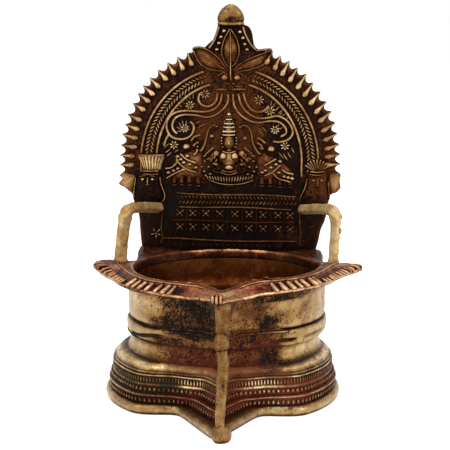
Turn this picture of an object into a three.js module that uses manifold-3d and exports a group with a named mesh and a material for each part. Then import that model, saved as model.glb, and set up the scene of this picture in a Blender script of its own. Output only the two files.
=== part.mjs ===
// A cast brass oil lamp: a leaf shaped oil bowl on a moulded foot, with an arched relief plate standing behind it.
// Millimetres, +Z up, the spout points to -Y. The vessel is drawn round the bowl's own axis, up from the floor,
// and the plate round the centre of its arch.
import * as THREE from 'three';
import { mergeVertices } from 'three/addons/utils/BufferGeometryUtils.js';
import Module from 'manifold-3d';

const wasm = await Module();
wasm.setup();

// Vessel, from the floor up: heights of the cast pieces
const FOOT_HEIGHT = 5;
const FOOT_BEADS_HEIGHT = 3.6;
const STEP_HEIGHT = 2;
const PLINTH_BEADS_HEIGHT = 3.4;
const PLINTH_HEIGHT = 10.5;
const LOWER_BODY_HEIGHT = 8.5;
const BAND_HEIGHT = 8.4;
const UPPER_BODY_HEIGHT = 17.2;
const FLANGE_THICKNESS = 4.4;

// Vessel, radius of the bowl, and how far each piece below stands out from the one above it
const BODY_RADIUS = 48.5;
const BAND_BULGE = 0.7;
const BAND_EDGE = 1;
const WAIST_HOLLOW = 1.9;
const NECK_FLARE = 0.9;
const NECK_LEDGE = 1;
const PLINTH_FLARE = 5.4;
const PLINTH_BEADS_BULGE = 0.6;
const STEP_LEDGE = 1.6;
const FOOT_BEADS_BULGE = 1.2;
const FOOT_LEDGE = 3.2;
const BEAD_SHOULDER = 1.2;

// Vessel, reach of the pointed prow in front of the axis, and how far each piece below reaches past the one above
const SPOUT_TIP = 62.5;
const BAND_TIP = 50;
const WAIST_TIP_HOLLOW = 3;
const NECK_TIP_FLARE = 1;
const PLINTH_TIP_FLARE = 9;
const PLINTH_BEADS_TIP_LEDGE = 3;
const STEP_TIP_LEDGE = 9;
const FOOT_BEADS_TIP_LEDGE = 10;
const FOOT_TIP_LEDGE = 19;
const PROW_HALF_ANGLE = THREE.MathUtils.degToRad(28.3);
const PROW_LIMIT = THREE.MathUtils.degToRad(60);

// Vessel, the hollow cheek on each side of the prow
const NOTCH_START = THREE.MathUtils.degToRad(26);
const NOTCH_END = THREE.MathUtils.degToRad(44);
const FOOT_NOTCH = 10;
const PLINTH_NOTCH = 7;
const BODY_NOTCH = 3;

// Walls and clearances
const FOOT_WALL = 5;
const PLINTH_WALL = 4;
const LOWER_BODY_WALL = 3.4;
const BODY_WALL = 2;
const CUP_WALL = 1.7;
const CUP_FLOOR = 2;
const CUP_ROUNDING = 5;
const CUP_SEAT = 1;
const MOUTH_SET_BACK = 1;
const CLEARANCE = 0.3;
const MERGE_TOLERANCE = 0.02;
const BASE_SHIFT = -2;

// Rim flange: a shelf round the mouth, a beak over the spout and a wing on each side
const RIM_OVERHANG = 6;
const BEAK_OVERHANG = 6.5;
const BEAK_NIB_HALF_WIDTH = 3;
const BEAK_NIB_LENGTH = 2.4;
const BEAK_ROOT_ANGLE = THREE.MathUtils.degToRad(-73);
const WING_FRONT_ANGLE = THREE.MathUtils.degToRad(-24);
const WING_REACH = 12;
const WING_TIP_Y = 9;
const WING_BACK_Y = 16;
const WING_ROOT_INSET = 3.5;
const SHELF_MARGIN = 1.6;
const HEM_GROOVES = 10;
const HEM_GROOVE_RADIUS = 1.3;
const HEM_FRONT_ANGLE = THREE.MathUtils.degToRad(-66);
const HEM_BACK_ANGLE = THREE.MathUtils.degToRad(-20);
const HEM_LIP = 1.2;

// Strut in front of the spout: a ball in the foot's tip, a bar, a knob, and a bar with a broad head
const STRUT_X = 0.6;
const STRUT_BALL_RADIUS = 3.9;
const STRUT_BALL_OVERHANG = 1.2;
const STRUT_BAR_HALF_WIDTH = 2.5;
const STRUT_LOWER_LENGTH = 33.6;
const STRUT_KNOB_HEIGHT = 7.7;
const STRUT_KNOB_RADIUS = 3.6;
const STRUT_HEAD_HALF_WIDTH = 3.7;
const STRUT_HEAD_HALF_DEPTH = 2.6;
const STRUT_HEAD_HEIGHT = 5;
const STRUT_SIDES = 12;

// Brackets between the wings and the plate
const BRACKET_THICKNESS = 4.6;
const BRACKET_FOOT_INSET = 3;
const BRACKET_BACK_MARGIN = 5;
const BRACKET_END_GAP = 4.2;
const BRACKET_END_DROP = 23.6;
const BRACKET_ELBOW_RISE = 6.1;
const BRACKET_LOWER_RISE = 12;
const BRACKET_BEND = 5;
const BRACKET_ARM_REACH = 18;
const BRACKET_ARM_INSET = 9;

// Plate, heights measured from the centre of its arch
const PLATE_INSET = 1.5;
const PLATE_THICKNESS = 3.2;
const PLATE_SHIFT = -0.4;
const ARCH_CENTRE_HEIGHT = 46;
const ARCH_HALF_WIDTH = 58.3;
const ARCH_RISE = 60.8;
const ARCH_STILT = 13;
const TOOTH_DEPTH = 3.6;
const TEETH_PER_SIDE = 17;
const PLATE_WAIST_DROP = 18;
const PLATE_WAIST_INSET = 6.8;
const PLATE_FOOT_INSET = 11.8;
const NECK_SINK = 2.8;
const NECK_HEIGHT = 12.3;
const NECK_BOTTOM_HALF_WIDTH = 12;
const NECK_TOP_HALF_WIDTH = 6.7;
const KNOB_HEIGHT = 10.7;
const KNOB_HALF_WIDTH = 7.1;
const KNOB_HALF_DEPTH = 3.2;

// Borders of the arch, from its toothed edge inwards
const DROP_EDGE_GAP = 1.3;
const DROP_HALF_LENGTH = 2.7;
const DROP_HALF_WIDTH = 1.4;
const DROP_HEIGHT = 1.6;
const DROP_CORD_GAP = 0.4;
const CORD_HALF_WIDTH = 0.8;
const CORD_HEIGHT = 1.4;
const CORD_BRAID_GAP = 0.85;
const BRAID_HALF_WIDTH = 1.3;
const STRAND_HALF_WIDTH = 0.7;
const BRAID_SWINGS = 30;
const OUTER_CORD_FOOT = 5;
const INNER_CORD_FOOT = 4;

// Lines of the relief
const VINE_HALF_WIDTH = 0.65;
const VINE_HEIGHT = 1.3;
const RAIL_HALF_WIDTH = 0.7;
const RAIL_HEIGHT = 1.3;
const LEAF_THICKNESS = 1;
const LEAF_VEIN_HALF_WIDTH = 0.5;
const LEAF_VEIN_RISE = 0.6;
const CENTRE_LEAF_HALF_WIDTH = 4.2;
const CENTRE_LEAF_THICKNESS = 1.2;
const CENTRE_LEAF_DROP = 12.8;
const CENTRE_LEAF_TIP_GAP = 1.7;
const SIDE_LEAF_HALF_WIDTH = 1.9;
const MASK_DROP = 19.2;
const MASK_HALF_WIDTH = 7.6;
const MASK_CORD_GAP = 2;
const GUARDIAN_INSET = 8.7;

// Lower panel
const PANEL_INSET = 13.5;
const TOP_RAIL_DROP = 16.6;
const BORDER_HEIGHT = 6.4;
const BOTTOM_RAIL_RISE = 5;
const BOTTOM_RAIL_OVERHANG = 2;
const LATTICE_COLUMNS = 9;
const BORDER_PAIRS = 16;

// Colours of the aged metal
const POLISHED = 0xcdb07a;
const WORN = 0xb08a55;
const DULL = 0x8a6a3c;
const DARK = 0x4a2e20;

const FLOOR_Z = 0;
const foot = { bottom: FLOOR_Z, top: FLOOR_Z + FOOT_HEIGHT };
const footBeads = { bottom: foot.top, top: foot.top + FOOT_BEADS_HEIGHT };
const step = { bottom: footBeads.top, top: footBeads.top + STEP_HEIGHT };
const plinthBeads = { bottom: step.top, top: step.top + PLINTH_BEADS_HEIGHT };
const plinth = { bottom: plinthBeads.top, top: plinthBeads.top + PLINTH_HEIGHT };
const lowerBody = { bottom: plinth.top, top: plinth.top + LOWER_BODY_HEIGHT };
const band = { bottom: lowerBody.top, top: lowerBody.top + BAND_HEIGHT };
const upperBody = { bottom: band.top, top: band.top + UPPER_BODY_HEIGHT };
const flange = { bottom: upperBody.top, top: upperBody.top + FLANGE_THICKNESS };

const BAND_RADIUS = BODY_RADIUS + BAND_BULGE;
const WAIST_RADIUS = BODY_RADIUS - WAIST_HOLLOW;
const NECK_RADIUS = BODY_RADIUS + NECK_FLARE;
const PLINTH_RADIUS = NECK_RADIUS + PLINTH_FLARE;
const PLINTH_BEADS_RADIUS = PLINTH_RADIUS + PLINTH_BEADS_BULGE;
const FOOT_BEADS_RADIUS = PLINTH_RADIUS + FOOT_BEADS_BULGE;
const FOOT_RADIUS = PLINTH_RADIUS + FOOT_LEDGE;
const WAIST_TIP = BAND_TIP - WAIST_TIP_HOLLOW;
const NECK_TIP = BAND_TIP + NECK_TIP_FLARE;
const PLINTH_TIP = NECK_TIP + PLINTH_TIP_FLARE;
const PLINTH_BEADS_TIP = PLINTH_TIP + PLINTH_BEADS_TIP_LEDGE;
const FOOT_BEADS_TIP = PLINTH_TIP + FOOT_BEADS_TIP_LEDGE;
const FOOT_TIP = PLINTH_TIP + FOOT_TIP_LEDGE;

const FLANGE_RADIUS = BODY_RADIUS + RIM_OVERHANG;
const BEAK_TIP = SPOUT_TIP + BEAK_OVERHANG;
const WING_TIP_X = FLANGE_RADIUS + WING_REACH;
const WING_ROOT_X = FLANGE_RADIUS - WING_ROOT_INSET;
const STRUT_FOOT_Y = -(FOOT_TIP + STRUT_BALL_OVERHANG);
const STRUT_TOP_Y = -(SPOUT_TIP + 2 * CLEARANCE + STRUT_HEAD_HALF_DEPTH);
const STRUT_KNOB_BOTTOM = foot.top + STRUT_LOWER_LENGTH;
const STRUT_KNOB_TOP = STRUT_KNOB_BOTTOM + STRUT_KNOB_HEIGHT;

const PLATE_FRONT = BODY_RADIUS - PLATE_INSET;
const PLATE_BACK = PLATE_FRONT + PLATE_THICKNESS;
const PLATE_FOOT_HALF_WIDTH = ARCH_HALF_WIDTH - PLATE_FOOT_INSET;
const PLATE_WAIST_HALF_WIDTH = ARCH_HALF_WIDTH - PLATE_WAIST_INSET;
const PANEL_HALF_WIDTH = PLATE_FOOT_HALF_WIDTH - PANEL_INSET;
const SHELF_HALF_WIDTH = PLATE_FOOT_HALF_WIDTH + SHELF_MARGIN;
const SHELF_BACK = PLATE_BACK + SHELF_MARGIN;
const GUARDIAN_X = PLATE_WAIST_HALF_WIDTH - GUARDIAN_INSET;
const DROP_INSET = TOOTH_DEPTH + DROP_EDGE_GAP + DROP_HALF_LENGTH;
const OUTER_CORD_INSET = DROP_INSET + DROP_HALF_LENGTH + DROP_CORD_GAP + CORD_HALF_WIDTH;
const BRAID_REACH = BRAID_HALF_WIDTH + STRAND_HALF_WIDTH + CORD_BRAID_GAP + CORD_HALF_WIDTH;
const BRAID_INSET = OUTER_CORD_INSET + BRAID_REACH;
const INNER_CORD_INSET = BRAID_INSET + BRAID_REACH;
const CREST_HALF_WIDTH = MASK_HALF_WIDTH + MASK_CORD_GAP;

// Outward facing geometry from a list of points and triangles, whichever way the triangles were first wound.
function closedGeometry(points, triangles) {
  let sixVolumes = 0;
  for (const [a, b, c] of triangles) {
    const [p, q, r] = [points[a], points[b], points[c]];
    sixVolumes += p[0] * (q[1] * r[2] - q[2] * r[1]);
    sixVolumes += p[1] * (q[2] * r[0] - q[0] * r[2]);
    sixVolumes += p[2] * (q[0] * r[1] - q[1] * r[0]);
  }
  const wound = sixVolumes < 0 ? triangles.map(([a, b, c]) => [a, c, b]) : triangles;
  const geometry = new THREE.BufferGeometry();
  geometry.setAttribute('position', new THREE.Float32BufferAttribute(points.flat(), 3));
  geometry.setIndex(wound.flat());
  return geometry;
}

// A solid for joins and cuts, from a closed geometry.
function solid(geometry) {
  const bare = geometry.clone();
  bare.deleteAttribute('normal');
  bare.deleteAttribute('uv');
  const merged = mergeVertices(bare, 1e-4);
  const mesh = new wasm.Mesh({
    numProp: 3,
    vertProperties: new Float32Array(merged.attributes.position.array),
    triVerts: new Uint32Array(merged.index.array),
  });
  return new wasm.Manifold(mesh);
}

// The joined or cut solid as a geometry, with faces that lie in one plane merged again.
function geometryOf(manifold) {
  const mesh = manifold.simplify(MERGE_TOLERANCE).getMesh();
  const geometry = new THREE.BufferGeometry();
  geometry.setAttribute('position', new THREE.BufferAttribute(new Float32Array(mesh.vertProperties), 3));
  geometry.setIndex(Array.from(mesh.triVerts));
  return geometry;
}

// Several overlapping geometries joined to one.
function fused(geometries) {
  return geometryOf(geometries.map(solid).reduce((whole, piece) => whole.add(piece)));
}

function boxBetween(low, high) {
  const size = high.map((value, axis) => value - low[axis]);
  const centre = high.map((value, axis) => (value + low[axis]) / 2);
  return new THREE.BoxGeometry(...size).translate(...centre);
}

function smooth(from, to, value) {
  const share = Math.min(1, Math.max(0, (value - from) / (to - from)));
  return share * share * (3 - 2 * share);
}

// Distance from the axis to the wall, at an angle away from the front: a circle with a hollow cheek near the prow,
// and the straight sides of the prow where they reach further out.
function planRadius(angle, level) {
  const lobe = level.radius - level.notch * (1 - smooth(NOTCH_START, NOTCH_END, angle));
  if (angle > PROW_LIMIT) {
    return lobe;
  }
  const prow = (level.tip * Math.sin(PROW_HALF_ANGLE)) / Math.sin(PROW_HALF_ANGLE + angle);
  return Math.max(lobe, prow);
}

function level(z, radius, tip, notch) {
  return { z, radius, tip, notch };
}

// The same outline one wall further in, with the prow's sides moved in square to themselves.
function inward(outline, wall, z = outline.z) {
  return level(z, outline.radius - wall, outline.tip - wall / Math.sin(PROW_HALF_ANGLE), outline.notch);
}

// The outline at a height between two others, on the straight line from one to the other.
function between(lower, upper, z) {
  const share = (z - lower.z) / (upper.z - lower.z);
  const mix = (key) => lower[key] + (upper[key] - lower[key]) * share;
  return level(z, mix('radius'), mix('tip'), mix('notch'));
}

// Angles round the vessel: fine steps over the prow and cheeks, wider ones over the round part.
const FRONT_STEPS = 6;
const FRONT_STEP = THREE.MathUtils.degToRad(7);
const ROUND_STEPS = 13;

function turnAngles() {
  const half = [];
  for (let i = 0; i < FRONT_STEPS; i += 1) {
    half.push(i * FRONT_STEP);
  }
  const start = FRONT_STEPS * FRONT_STEP;
  for (let i = 0; i < ROUND_STEPS; i += 1) {
    half.push(start + ((Math.PI - start) * i) / ROUND_STEPS);
  }
  const back = half.slice(1).reverse();
  return [...half, Math.PI, ...back.map((angle) => 2 * Math.PI - angle)];
}

const TURN = turnAngles();

function planPoint(turn, outline) {
  const away = Math.min(turn, 2 * Math.PI - turn);
  const radius = planRadius(away, outline);
  return [radius * Math.sin(turn), -radius * Math.cos(turn)];
}

// A wall turned round the axis: the profile is a closed loop of levels, or runs from the axis to the axis.
// Each face is split the same way on inner and outer walls, so that nested walls keep their clearance.
function turnedWall(profile, closed = true) {
  const points = [];
  const rows = profile.map((outline) => {
    if (outline.radius === 0) {
      points.push([0, 0, outline.z]);
      return TURN.map(() => points.length - 1);
    }
    return TURN.map((turn) => {
      points.push([...planPoint(turn, outline), outline.z]);
      return points.length - 1;
    });
  });
  const triangles = [];
  const lastRow = closed ? rows.length : rows.length - 1;
  for (let k = 0; k < lastRow; k += 1) {
    const lower = rows[k];
    const upper = rows[(k + 1) % rows.length];
    const falling = profile[k].z > profile[(k + 1) % rows.length].z;
    for (let i = 0; i < TURN.length; i += 1) {
      const j = (i + 1) % TURN.length;
      if (lower[i] !== lower[j]) {
        triangles.push([lower[i], lower[j], falling ? upper[i] : upper[j]]);
      }
      if (upper[i] !== upper[j]) {
        triangles.push([falling ? lower[j] : lower[i], upper[j], upper[i]]);
      }
    }
  }
  return closedGeometry(points, triangles);
}

// A ring of the vessel with a straight inner face: the outer levels from the bottom up, then back down inside.
function vesselRing(outer, wall) {
  const top = outer[outer.length - 1];
  return turnedWall([...outer, inward(top, wall), inward(outer[0], wall)]);
}

// A ring of even wall: its inner face follows the outer one level by level.
function vesselShell(outer, wall) {
  return turnedWall([...outer, ...outer.map((outline) => inward(outline, wall)).reverse()]);
}

// A bar built up from level sections, each an ellipse, or squarer when its power is under 1.
function stack(sections, sides) {
  const points = [];
  const rows = sections.map((section) => {
    const row = [];
    for (let i = 0; i < sides; i += 1) {
      const turn = (2 * Math.PI * (i + 0.5)) / sides;
      const power = section.power ?? 1;
      const across = Math.sign(Math.cos(turn)) * Math.abs(Math.cos(turn)) ** power;
      const along = Math.sign(Math.sin(turn)) * Math.abs(Math.sin(turn)) ** power;
      row.push(points.length);
      points.push([section.x + section.rx * across, section.y + section.ry * along, section.z]);
    }
    return row;
  });
  const triangles = [];
  for (let k = 0; k + 1 < rows.length; k += 1) {
    for (let i = 0; i < sides; i += 1) {
      const j = (i + 1) % sides;
      triangles.push([rows[k][i], rows[k][j], rows[k + 1][j]], [rows[k][i], rows[k + 1][j], rows[k + 1][i]]);
    }
  }
  const top = rows[rows.length - 1];
  for (let i = 1; i + 1 < sides; i += 1) {
    triangles.push([rows[0][0], rows[0][i + 1], rows[0][i]], [top[0], top[i], top[i + 1]]);
  }
  return closedGeometry(points, triangles);
}

// A flat outline in x and z, given thickness towards the viewer from the face at y.
function slab(outline, thickness, y = PLATE_FRONT) {
  const geometry = new THREE.ExtrudeGeometry(outlineShape(outline), { depth: thickness, bevelEnabled: false });
  const place = geometry.attributes.position;
  for (let i = 0; i < place.count; i += 1) {
    place.setXYZ(i, place.getX(i), y - place.getZ(i), place.getY(i));
  }
  geometry.deleteAttribute('normal');
  return geometry;
}

function outlineShape(points) {
  return new THREE.Shape(points.map(([x, z]) => new THREE.Vector2(x, z)));
}

// Half an egg lying with its flat side on the plate. The long axis leans by angle from the x axis.
function boss([x, z, halfLength, halfWidth, height], { angle = 0, sides = 6, rings = 2 } = {}) {
  const points = [[x, PLATE_FRONT, z]];
  const rows = [];
  for (let k = 0; k < rings; k += 1) {
    const rise = (k / rings) * (Math.PI / 2);
    const row = [];
    for (let i = 0; i < sides; i += 1) {
      const turn = (2 * Math.PI * i) / sides;
      const along = halfLength * Math.cos(rise) * Math.cos(turn);
      const across = halfWidth * Math.cos(rise) * Math.sin(turn);
      row.push(points.length);
      points.push([
        x + along * Math.cos(angle) - across * Math.sin(angle),
        PLATE_FRONT - height * Math.sin(rise),
        z + along * Math.sin(angle) + across * Math.cos(angle),
      ]);
    }
    rows.push(row);
  }
  const apex = points.length;
  points.push([x, PLATE_FRONT - height, z]);
  const triangles = [];
  const last = rows[rings - 1];
  for (let i = 0; i < sides; i += 1) {
    const j = (i + 1) % sides;
    triangles.push([0, rows[0][i], rows[0][j]], [last[i], apex, last[j]]);
    for (let k = 0; k + 1 < rings; k += 1) {
      triangles.push([rows[k][i], rows[k + 1][i], rows[k + 1][j]], [rows[k][i], rows[k + 1][j], rows[k][j]]);
    }
  }
  return closedGeometry(points, triangles);
}

// A thread laid on the plate along x, z points: a low rib with sloping sides and a flat crown.
function thread(route, halfWidth, height) {
  const crown = halfWidth / 2;
  return sectionAlong(route, [
    [halfWidth, 0],
    [crown, height],
    [-crown, height],
    [-halfWidth, 0],
  ]);
}

// A finer thread whose sides meet in a sharp ridge.
function ridge(route, halfWidth, height) {
  return sectionAlong(route, [
    [halfWidth, 0],
    [0, height],
    [-halfWidth, 0],
  ]);
}

// A section, given as distances across the route and out of the plate, carried along x, z points.
function sectionAlong(route, section) {
  const points = [];
  const rows = route.map(([x, z], i) => {
    const before = route[Math.max(0, i - 1)];
    const after = route[Math.min(route.length - 1, i + 1)];
    const length = Math.hypot(after[0] - before[0], after[1] - before[1]);
    const side = [-(after[1] - before[1]) / length, (after[0] - before[0]) / length];
    return section.map(([across, rise]) => {
      points.push([x + side[0] * across, PLATE_FRONT - rise, z + side[1] * across]);
      return points.length - 1;
    });
  });
  const triangles = [];
  const sides = section.length;
  for (let k = 0; k + 1 < rows.length; k += 1) {
    for (let i = 0; i < sides; i += 1) {
      const j = (i + 1) % sides;
      triangles.push([rows[k][i], rows[k][j], rows[k + 1][j]], [rows[k][i], rows[k + 1][j], rows[k + 1][i]]);
    }
  }
  const end = rows[rows.length - 1];
  for (let i = 1; i + 1 < sides; i += 1) {
    triangles.push([rows[0][0], rows[0][i + 1], rows[0][i]], [end[0], end[i], end[i + 1]]);
  }
  return closedGeometry(points, triangles);
}

// Points spaced evenly along a smooth curve through the given ones.
function along(points, steps) {
  const curve = new THREE.SplineCurve(points.map(([x, z]) => new THREE.Vector2(x, z)));
  return curve.getSpacedPoints(steps).map((point) => [point.x, point.y]);
}

// Drawn points or a drawn swelling on the right half (side 1), or turned over to the left half (side -1).
function sided(side, points) {
  return points.map(([x, z]) => [side * x, z]);
}

function sidedBoss(side, [x, ...rest], options) {
  return boss([side * x, ...rest], options);
}

// Foot, plinth and body rings

function footRing() {
  const UNDERCUT = 0.6;
  const TOP_SLOPE = 1;
  const TIP_UNDERCUT = 1;
  const TIP_SLOPE = 2;
  const outer = [
    level(foot.bottom, FOOT_RADIUS - UNDERCUT, FOOT_TIP - TIP_UNDERCUT, FOOT_NOTCH),
    level(foot.bottom + FOOT_HEIGHT / 2, FOOT_RADIUS, FOOT_TIP, FOOT_NOTCH),
    level(foot.top, FOOT_RADIUS - TOP_SLOPE, FOOT_TIP - TIP_SLOPE, FOOT_NOTCH),
  ];
  const saddle = STRUT_BALL_RADIUS + CLEARANCE;
  const seat = new THREE.CylinderGeometry(saddle, saddle, 4 * FOOT_HEIGHT, 16)
    .rotateX(Math.PI / 2)
    .translate(STRUT_X - BASE_SHIFT, STRUT_FOOT_Y, foot.bottom + FOOT_HEIGHT / 2);
  return geometryOf(solid(vesselRing(outer, FOOT_WALL)).subtract(solid(seat)));
}

function beadBand(span, radius, tip, notch) {
  const middle = (span.bottom + span.top) / 2;
  const outer = [
    level(span.bottom, radius - BEAD_SHOULDER, tip - BEAD_SHOULDER, notch),
    level(middle, radius, tip, notch),
    level(span.top, radius - BEAD_SHOULDER, tip - BEAD_SHOULDER, notch),
  ];
  return vesselRing(outer, PLINTH_WALL);
}

function plinthStep() {
  const TIP_SLOPE = 3;
  const radius = PLINTH_RADIUS + STEP_LEDGE;
  const tip = PLINTH_TIP + STEP_TIP_LEDGE;
  const outer = [
    level(step.bottom, radius, tip, PLINTH_NOTCH),
    level(step.bottom + STEP_HEIGHT / 2, radius, tip, PLINTH_NOTCH),
    level(step.top, radius - STEP_LEDGE, tip - TIP_SLOPE, PLINTH_NOTCH),
  ];
  return vesselRing(outer, PLINTH_WALL);
}

function plinthMoulding() {
  const LIP_SHARE = 0.25;
  const LIP_SLOPE = 0.3;
  const LIP_TIP_SLOPE = 2;
  const SHOULDER_SHARE = 0.65;
  const SHOULDER_FULLNESS = 1.2;
  const shoulder = (PLINTH_RADIUS + NECK_RADIUS) / 2 + SHOULDER_FULLNESS;
  const lip = plinth.bottom + PLINTH_HEIGHT * LIP_SHARE;
  const outer = [
    level(plinth.bottom, PLINTH_RADIUS, PLINTH_TIP, PLINTH_NOTCH),
    level(lip, PLINTH_RADIUS - LIP_SLOPE, PLINTH_TIP - LIP_TIP_SLOPE, PLINTH_NOTCH),
    level(plinth.bottom + PLINTH_HEIGHT * SHOULDER_SHARE, shoulder, (PLINTH_TIP + NECK_TIP) / 2, PLINTH_NOTCH),
    level(plinth.top, NECK_RADIUS, NECK_TIP, BODY_NOTCH),
  ];
  return vesselRing(outer, PLINTH_WALL);
}

const bandFoot = level(band.bottom, BAND_RADIUS - BAND_EDGE, BAND_TIP - BAND_EDGE, BODY_NOTCH);

function lowerBodyWall() {
  const HOLLOW_START = 0.3;
  const HOLLOW_END = 0.65;
  const SLOPE = 0.4;
  const TIP_SLOPE = 1;
  const start = lowerBody.bottom + LOWER_BODY_HEIGHT * HOLLOW_START;
  const end = lowerBody.bottom + LOWER_BODY_HEIGHT * HOLLOW_END;
  const outer = [
    level(lowerBody.bottom, NECK_RADIUS - NECK_LEDGE, NECK_TIP - NECK_LEDGE, BODY_NOTCH),
    level(start, WAIST_RADIUS + SLOPE, WAIST_TIP + TIP_SLOPE, BODY_NOTCH),
    level(end, WAIST_RADIUS, WAIST_TIP, BODY_NOTCH),
    bandFoot,
  ];
  return vesselShell(outer, LOWER_BODY_WALL);
}

const bodyFoot = level(upperBody.bottom, BODY_RADIUS, BAND_TIP - BAND_EDGE, BODY_NOTCH);
const SPOUT_SWEEP = 5;
const BELLY_SHARE = 0.55;
const bodyBelly = level(
  upperBody.bottom + UPPER_BODY_HEIGHT * BELLY_SHARE, BODY_RADIUS, BAND_TIP + SPOUT_SWEEP, BODY_NOTCH,
);
const bodyRim = level(upperBody.top, BODY_RADIUS, SPOUT_TIP, BODY_NOTCH);
const bodyHeel = between(bodyFoot, bodyBelly, upperBody.bottom + CUP_ROUNDING);
const cupFoot = inward(bodyFoot, BODY_WALL + CLEARANCE + CUP_ROUNDING);
const cupHeel = inward(bodyHeel, BODY_WALL + CLEARANCE);
const cupBelly = inward(bodyBelly, BODY_WALL + CLEARANCE);
const cupRim = inward(bodyRim, BODY_WALL + CLEARANCE);
const mouth = inward(cupRim, CUP_WALL - MOUTH_SET_BACK);

// The band's inner face reaches in under the oil cup, as the ledge that the cup stands on.
function waistBand() {
  const ROUND = 1.2;
  const outer = [
    bandFoot,
    level(band.bottom + ROUND, BAND_RADIUS, BAND_TIP, BODY_NOTCH),
    level(band.top - ROUND, BAND_RADIUS, BAND_TIP, BODY_NOTCH),
    { ...bandFoot, z: band.top },
  ];
  return vesselRing(outer, bandFoot.radius - cupFoot.radius + CUP_SEAT);
}

function upperBodyWall() {
  return vesselShell([bodyFoot, bodyHeel, bodyBelly, bodyRim], BODY_WALL);
}

// The oil cup stands on the ledge inside the waist band and runs forward into the spout.
function oilReservoir() {
  const floor = upperBody.bottom + CUP_FLOOR;
  const axis = (z) => ({ z, radius: 0 });
  const outside = [axis(upperBody.bottom), cupFoot, cupHeel, cupBelly, cupRim];
  const walls = [cupRim, cupBelly, cupHeel].map((outline) => inward(outline, CUP_WALL));
  return turnedWall([...outside, ...walls, inward(cupFoot, CUP_WALL, floor), axis(floor)], false);
}

// Right half of the flange's outer edge, from the beak to the back of the shelf.
function flangeHalf() {
  const BEAK_BEND = [2 * BEAK_NIB_HALF_WIDTH, -(FLANGE_RADIUS + 3.5)];
  const WING_BEND = [WING_ROOT_X + 6, -7];
  const WING_CORNER = 2;
  const SHELF_BEND = [WING_ROOT_X - 3, WING_BACK_Y + 10];
  const SHELF_CORNER = 12;
  const beakRoot = [FLANGE_RADIUS * Math.cos(BEAK_ROOT_ANGLE), FLANGE_RADIUS * Math.sin(BEAK_ROOT_ANGLE)];
  const edge = new THREE.Path();
  edge.moveTo(0, -BEAK_TIP);
  edge.lineTo(BEAK_NIB_HALF_WIDTH, -BEAK_TIP + BEAK_NIB_LENGTH);
  edge.quadraticCurveTo(...BEAK_BEND, ...beakRoot);
  edge.absarc(0, 0, FLANGE_RADIUS, BEAK_ROOT_ANGLE, WING_FRONT_ANGLE);
  edge.quadraticCurveTo(...WING_BEND, WING_TIP_X, WING_TIP_Y);
  edge.lineTo(WING_TIP_X - WING_CORNER, WING_BACK_Y);
  edge.lineTo(WING_ROOT_X, WING_BACK_Y);
  edge.quadraticCurveTo(...SHELF_BEND, SHELF_HALF_WIDTH, SHELF_BACK - SHELF_CORNER);
  edge.lineTo(SHELF_HALF_WIDTH, SHELF_BACK);
  const points = edge.getPoints(8).map((point) => [point.x, point.y]);
  const apart = ([x, y], before) => Math.hypot(x - before[0], y - before[1]) > MERGE_TOLERANCE;
  return points.filter((point, i) => i === 0 || apart(point, points[i - 1]));
}

function hemGrooves() {
  const height = FLANGE_THICKNESS - HEM_LIP + 1;
  const grooves = [];
  for (let i = 0; i < HEM_GROOVES; i += 1) {
    const angle = HEM_FRONT_ANGLE + ((HEM_BACK_ANGLE - HEM_FRONT_ANGLE) * i) / (HEM_GROOVES - 1);
    for (const side of [-1, 1]) {
      const x = side * FLANGE_RADIUS * Math.cos(angle);
      const y = FLANGE_RADIUS * Math.sin(angle);
      const groove = new THREE.CylinderGeometry(HEM_GROOVE_RADIUS, HEM_GROOVE_RADIUS, height, 4);
      groove.rotateX(Math.PI / 2).translate(x, y, flange.bottom - 1 + height / 2);
      grooves.push(solid(groove));
    }
  }
  return grooves.reduce((all, groove) => all.add(groove));
}

function rimFlange() {
  const half = flangeHalf();
  const shape = outlineShape([...half, ...sided(-1, half.slice(1)).reverse()]);
  const hole = TURN.map((turn) => planPoint(turn, mouth)).reverse();
  shape.holes.push(new THREE.Path(hole.map(([x, y]) => new THREE.Vector2(x, y))));
  const sheet = new THREE.ExtrudeGeometry(shape, { depth: FLANGE_THICKNESS, bevelEnabled: false });
  sheet.translate(0, 0, flange.bottom);
  return geometryOf(solid(sheet).subtract(hemGrooves()));
}

// Strut: one leaning line from the foot's tip up to the underside of the beak, in level sections

function strutSection(z, rx, ry, power = 1) {
  const share = (z - foot.top) / (flange.bottom - foot.top);
  const y = STRUT_FOOT_Y + (STRUT_TOP_Y - STRUT_FOOT_Y) * Math.max(0, share);
  return { x: STRUT_X, y, z, rx, ry, power };
}

function strutFoot() {
  const radius = STRUT_BALL_RADIUS;
  const poleRadius = radius * 0.77;
  const middle = (foot.bottom + foot.top) / 2;
  const halfBelt = 1.2;
  const sections = [
    strutSection(foot.bottom, poleRadius, poleRadius),
    strutSection(middle - halfBelt, radius, radius),
    strutSection(middle + halfBelt, radius, radius),
    strutSection(foot.top, poleRadius, poleRadius),
  ];
  return stack(sections, STRUT_SIDES);
}

const SQUARE_POWER = 0.6;
const ROUNDED_POWER = 0.8;

function strutLowerBar() {
  const half = STRUT_BAR_HALF_WIDTH;
  const bottom = strutSection(foot.top, half, half, SQUARE_POWER);
  return stack([bottom, strutSection(STRUT_KNOB_BOTTOM, half, half, SQUARE_POWER)], 8);
}

function strutKnob() {
  const PROFILE = [
    [0, 0.6],
    [0.29, 0.95],
    [0.58, 1],
    [0.87, 0.85],
    [1, 0.6],
  ];
  const sections = PROFILE.map(([share, width]) => {
    const radius = STRUT_KNOB_RADIUS * width;
    return strutSection(STRUT_KNOB_BOTTOM + STRUT_KNOB_HEIGHT * share, radius, radius);
  });
  return stack(sections, STRUT_SIDES);
}

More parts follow.
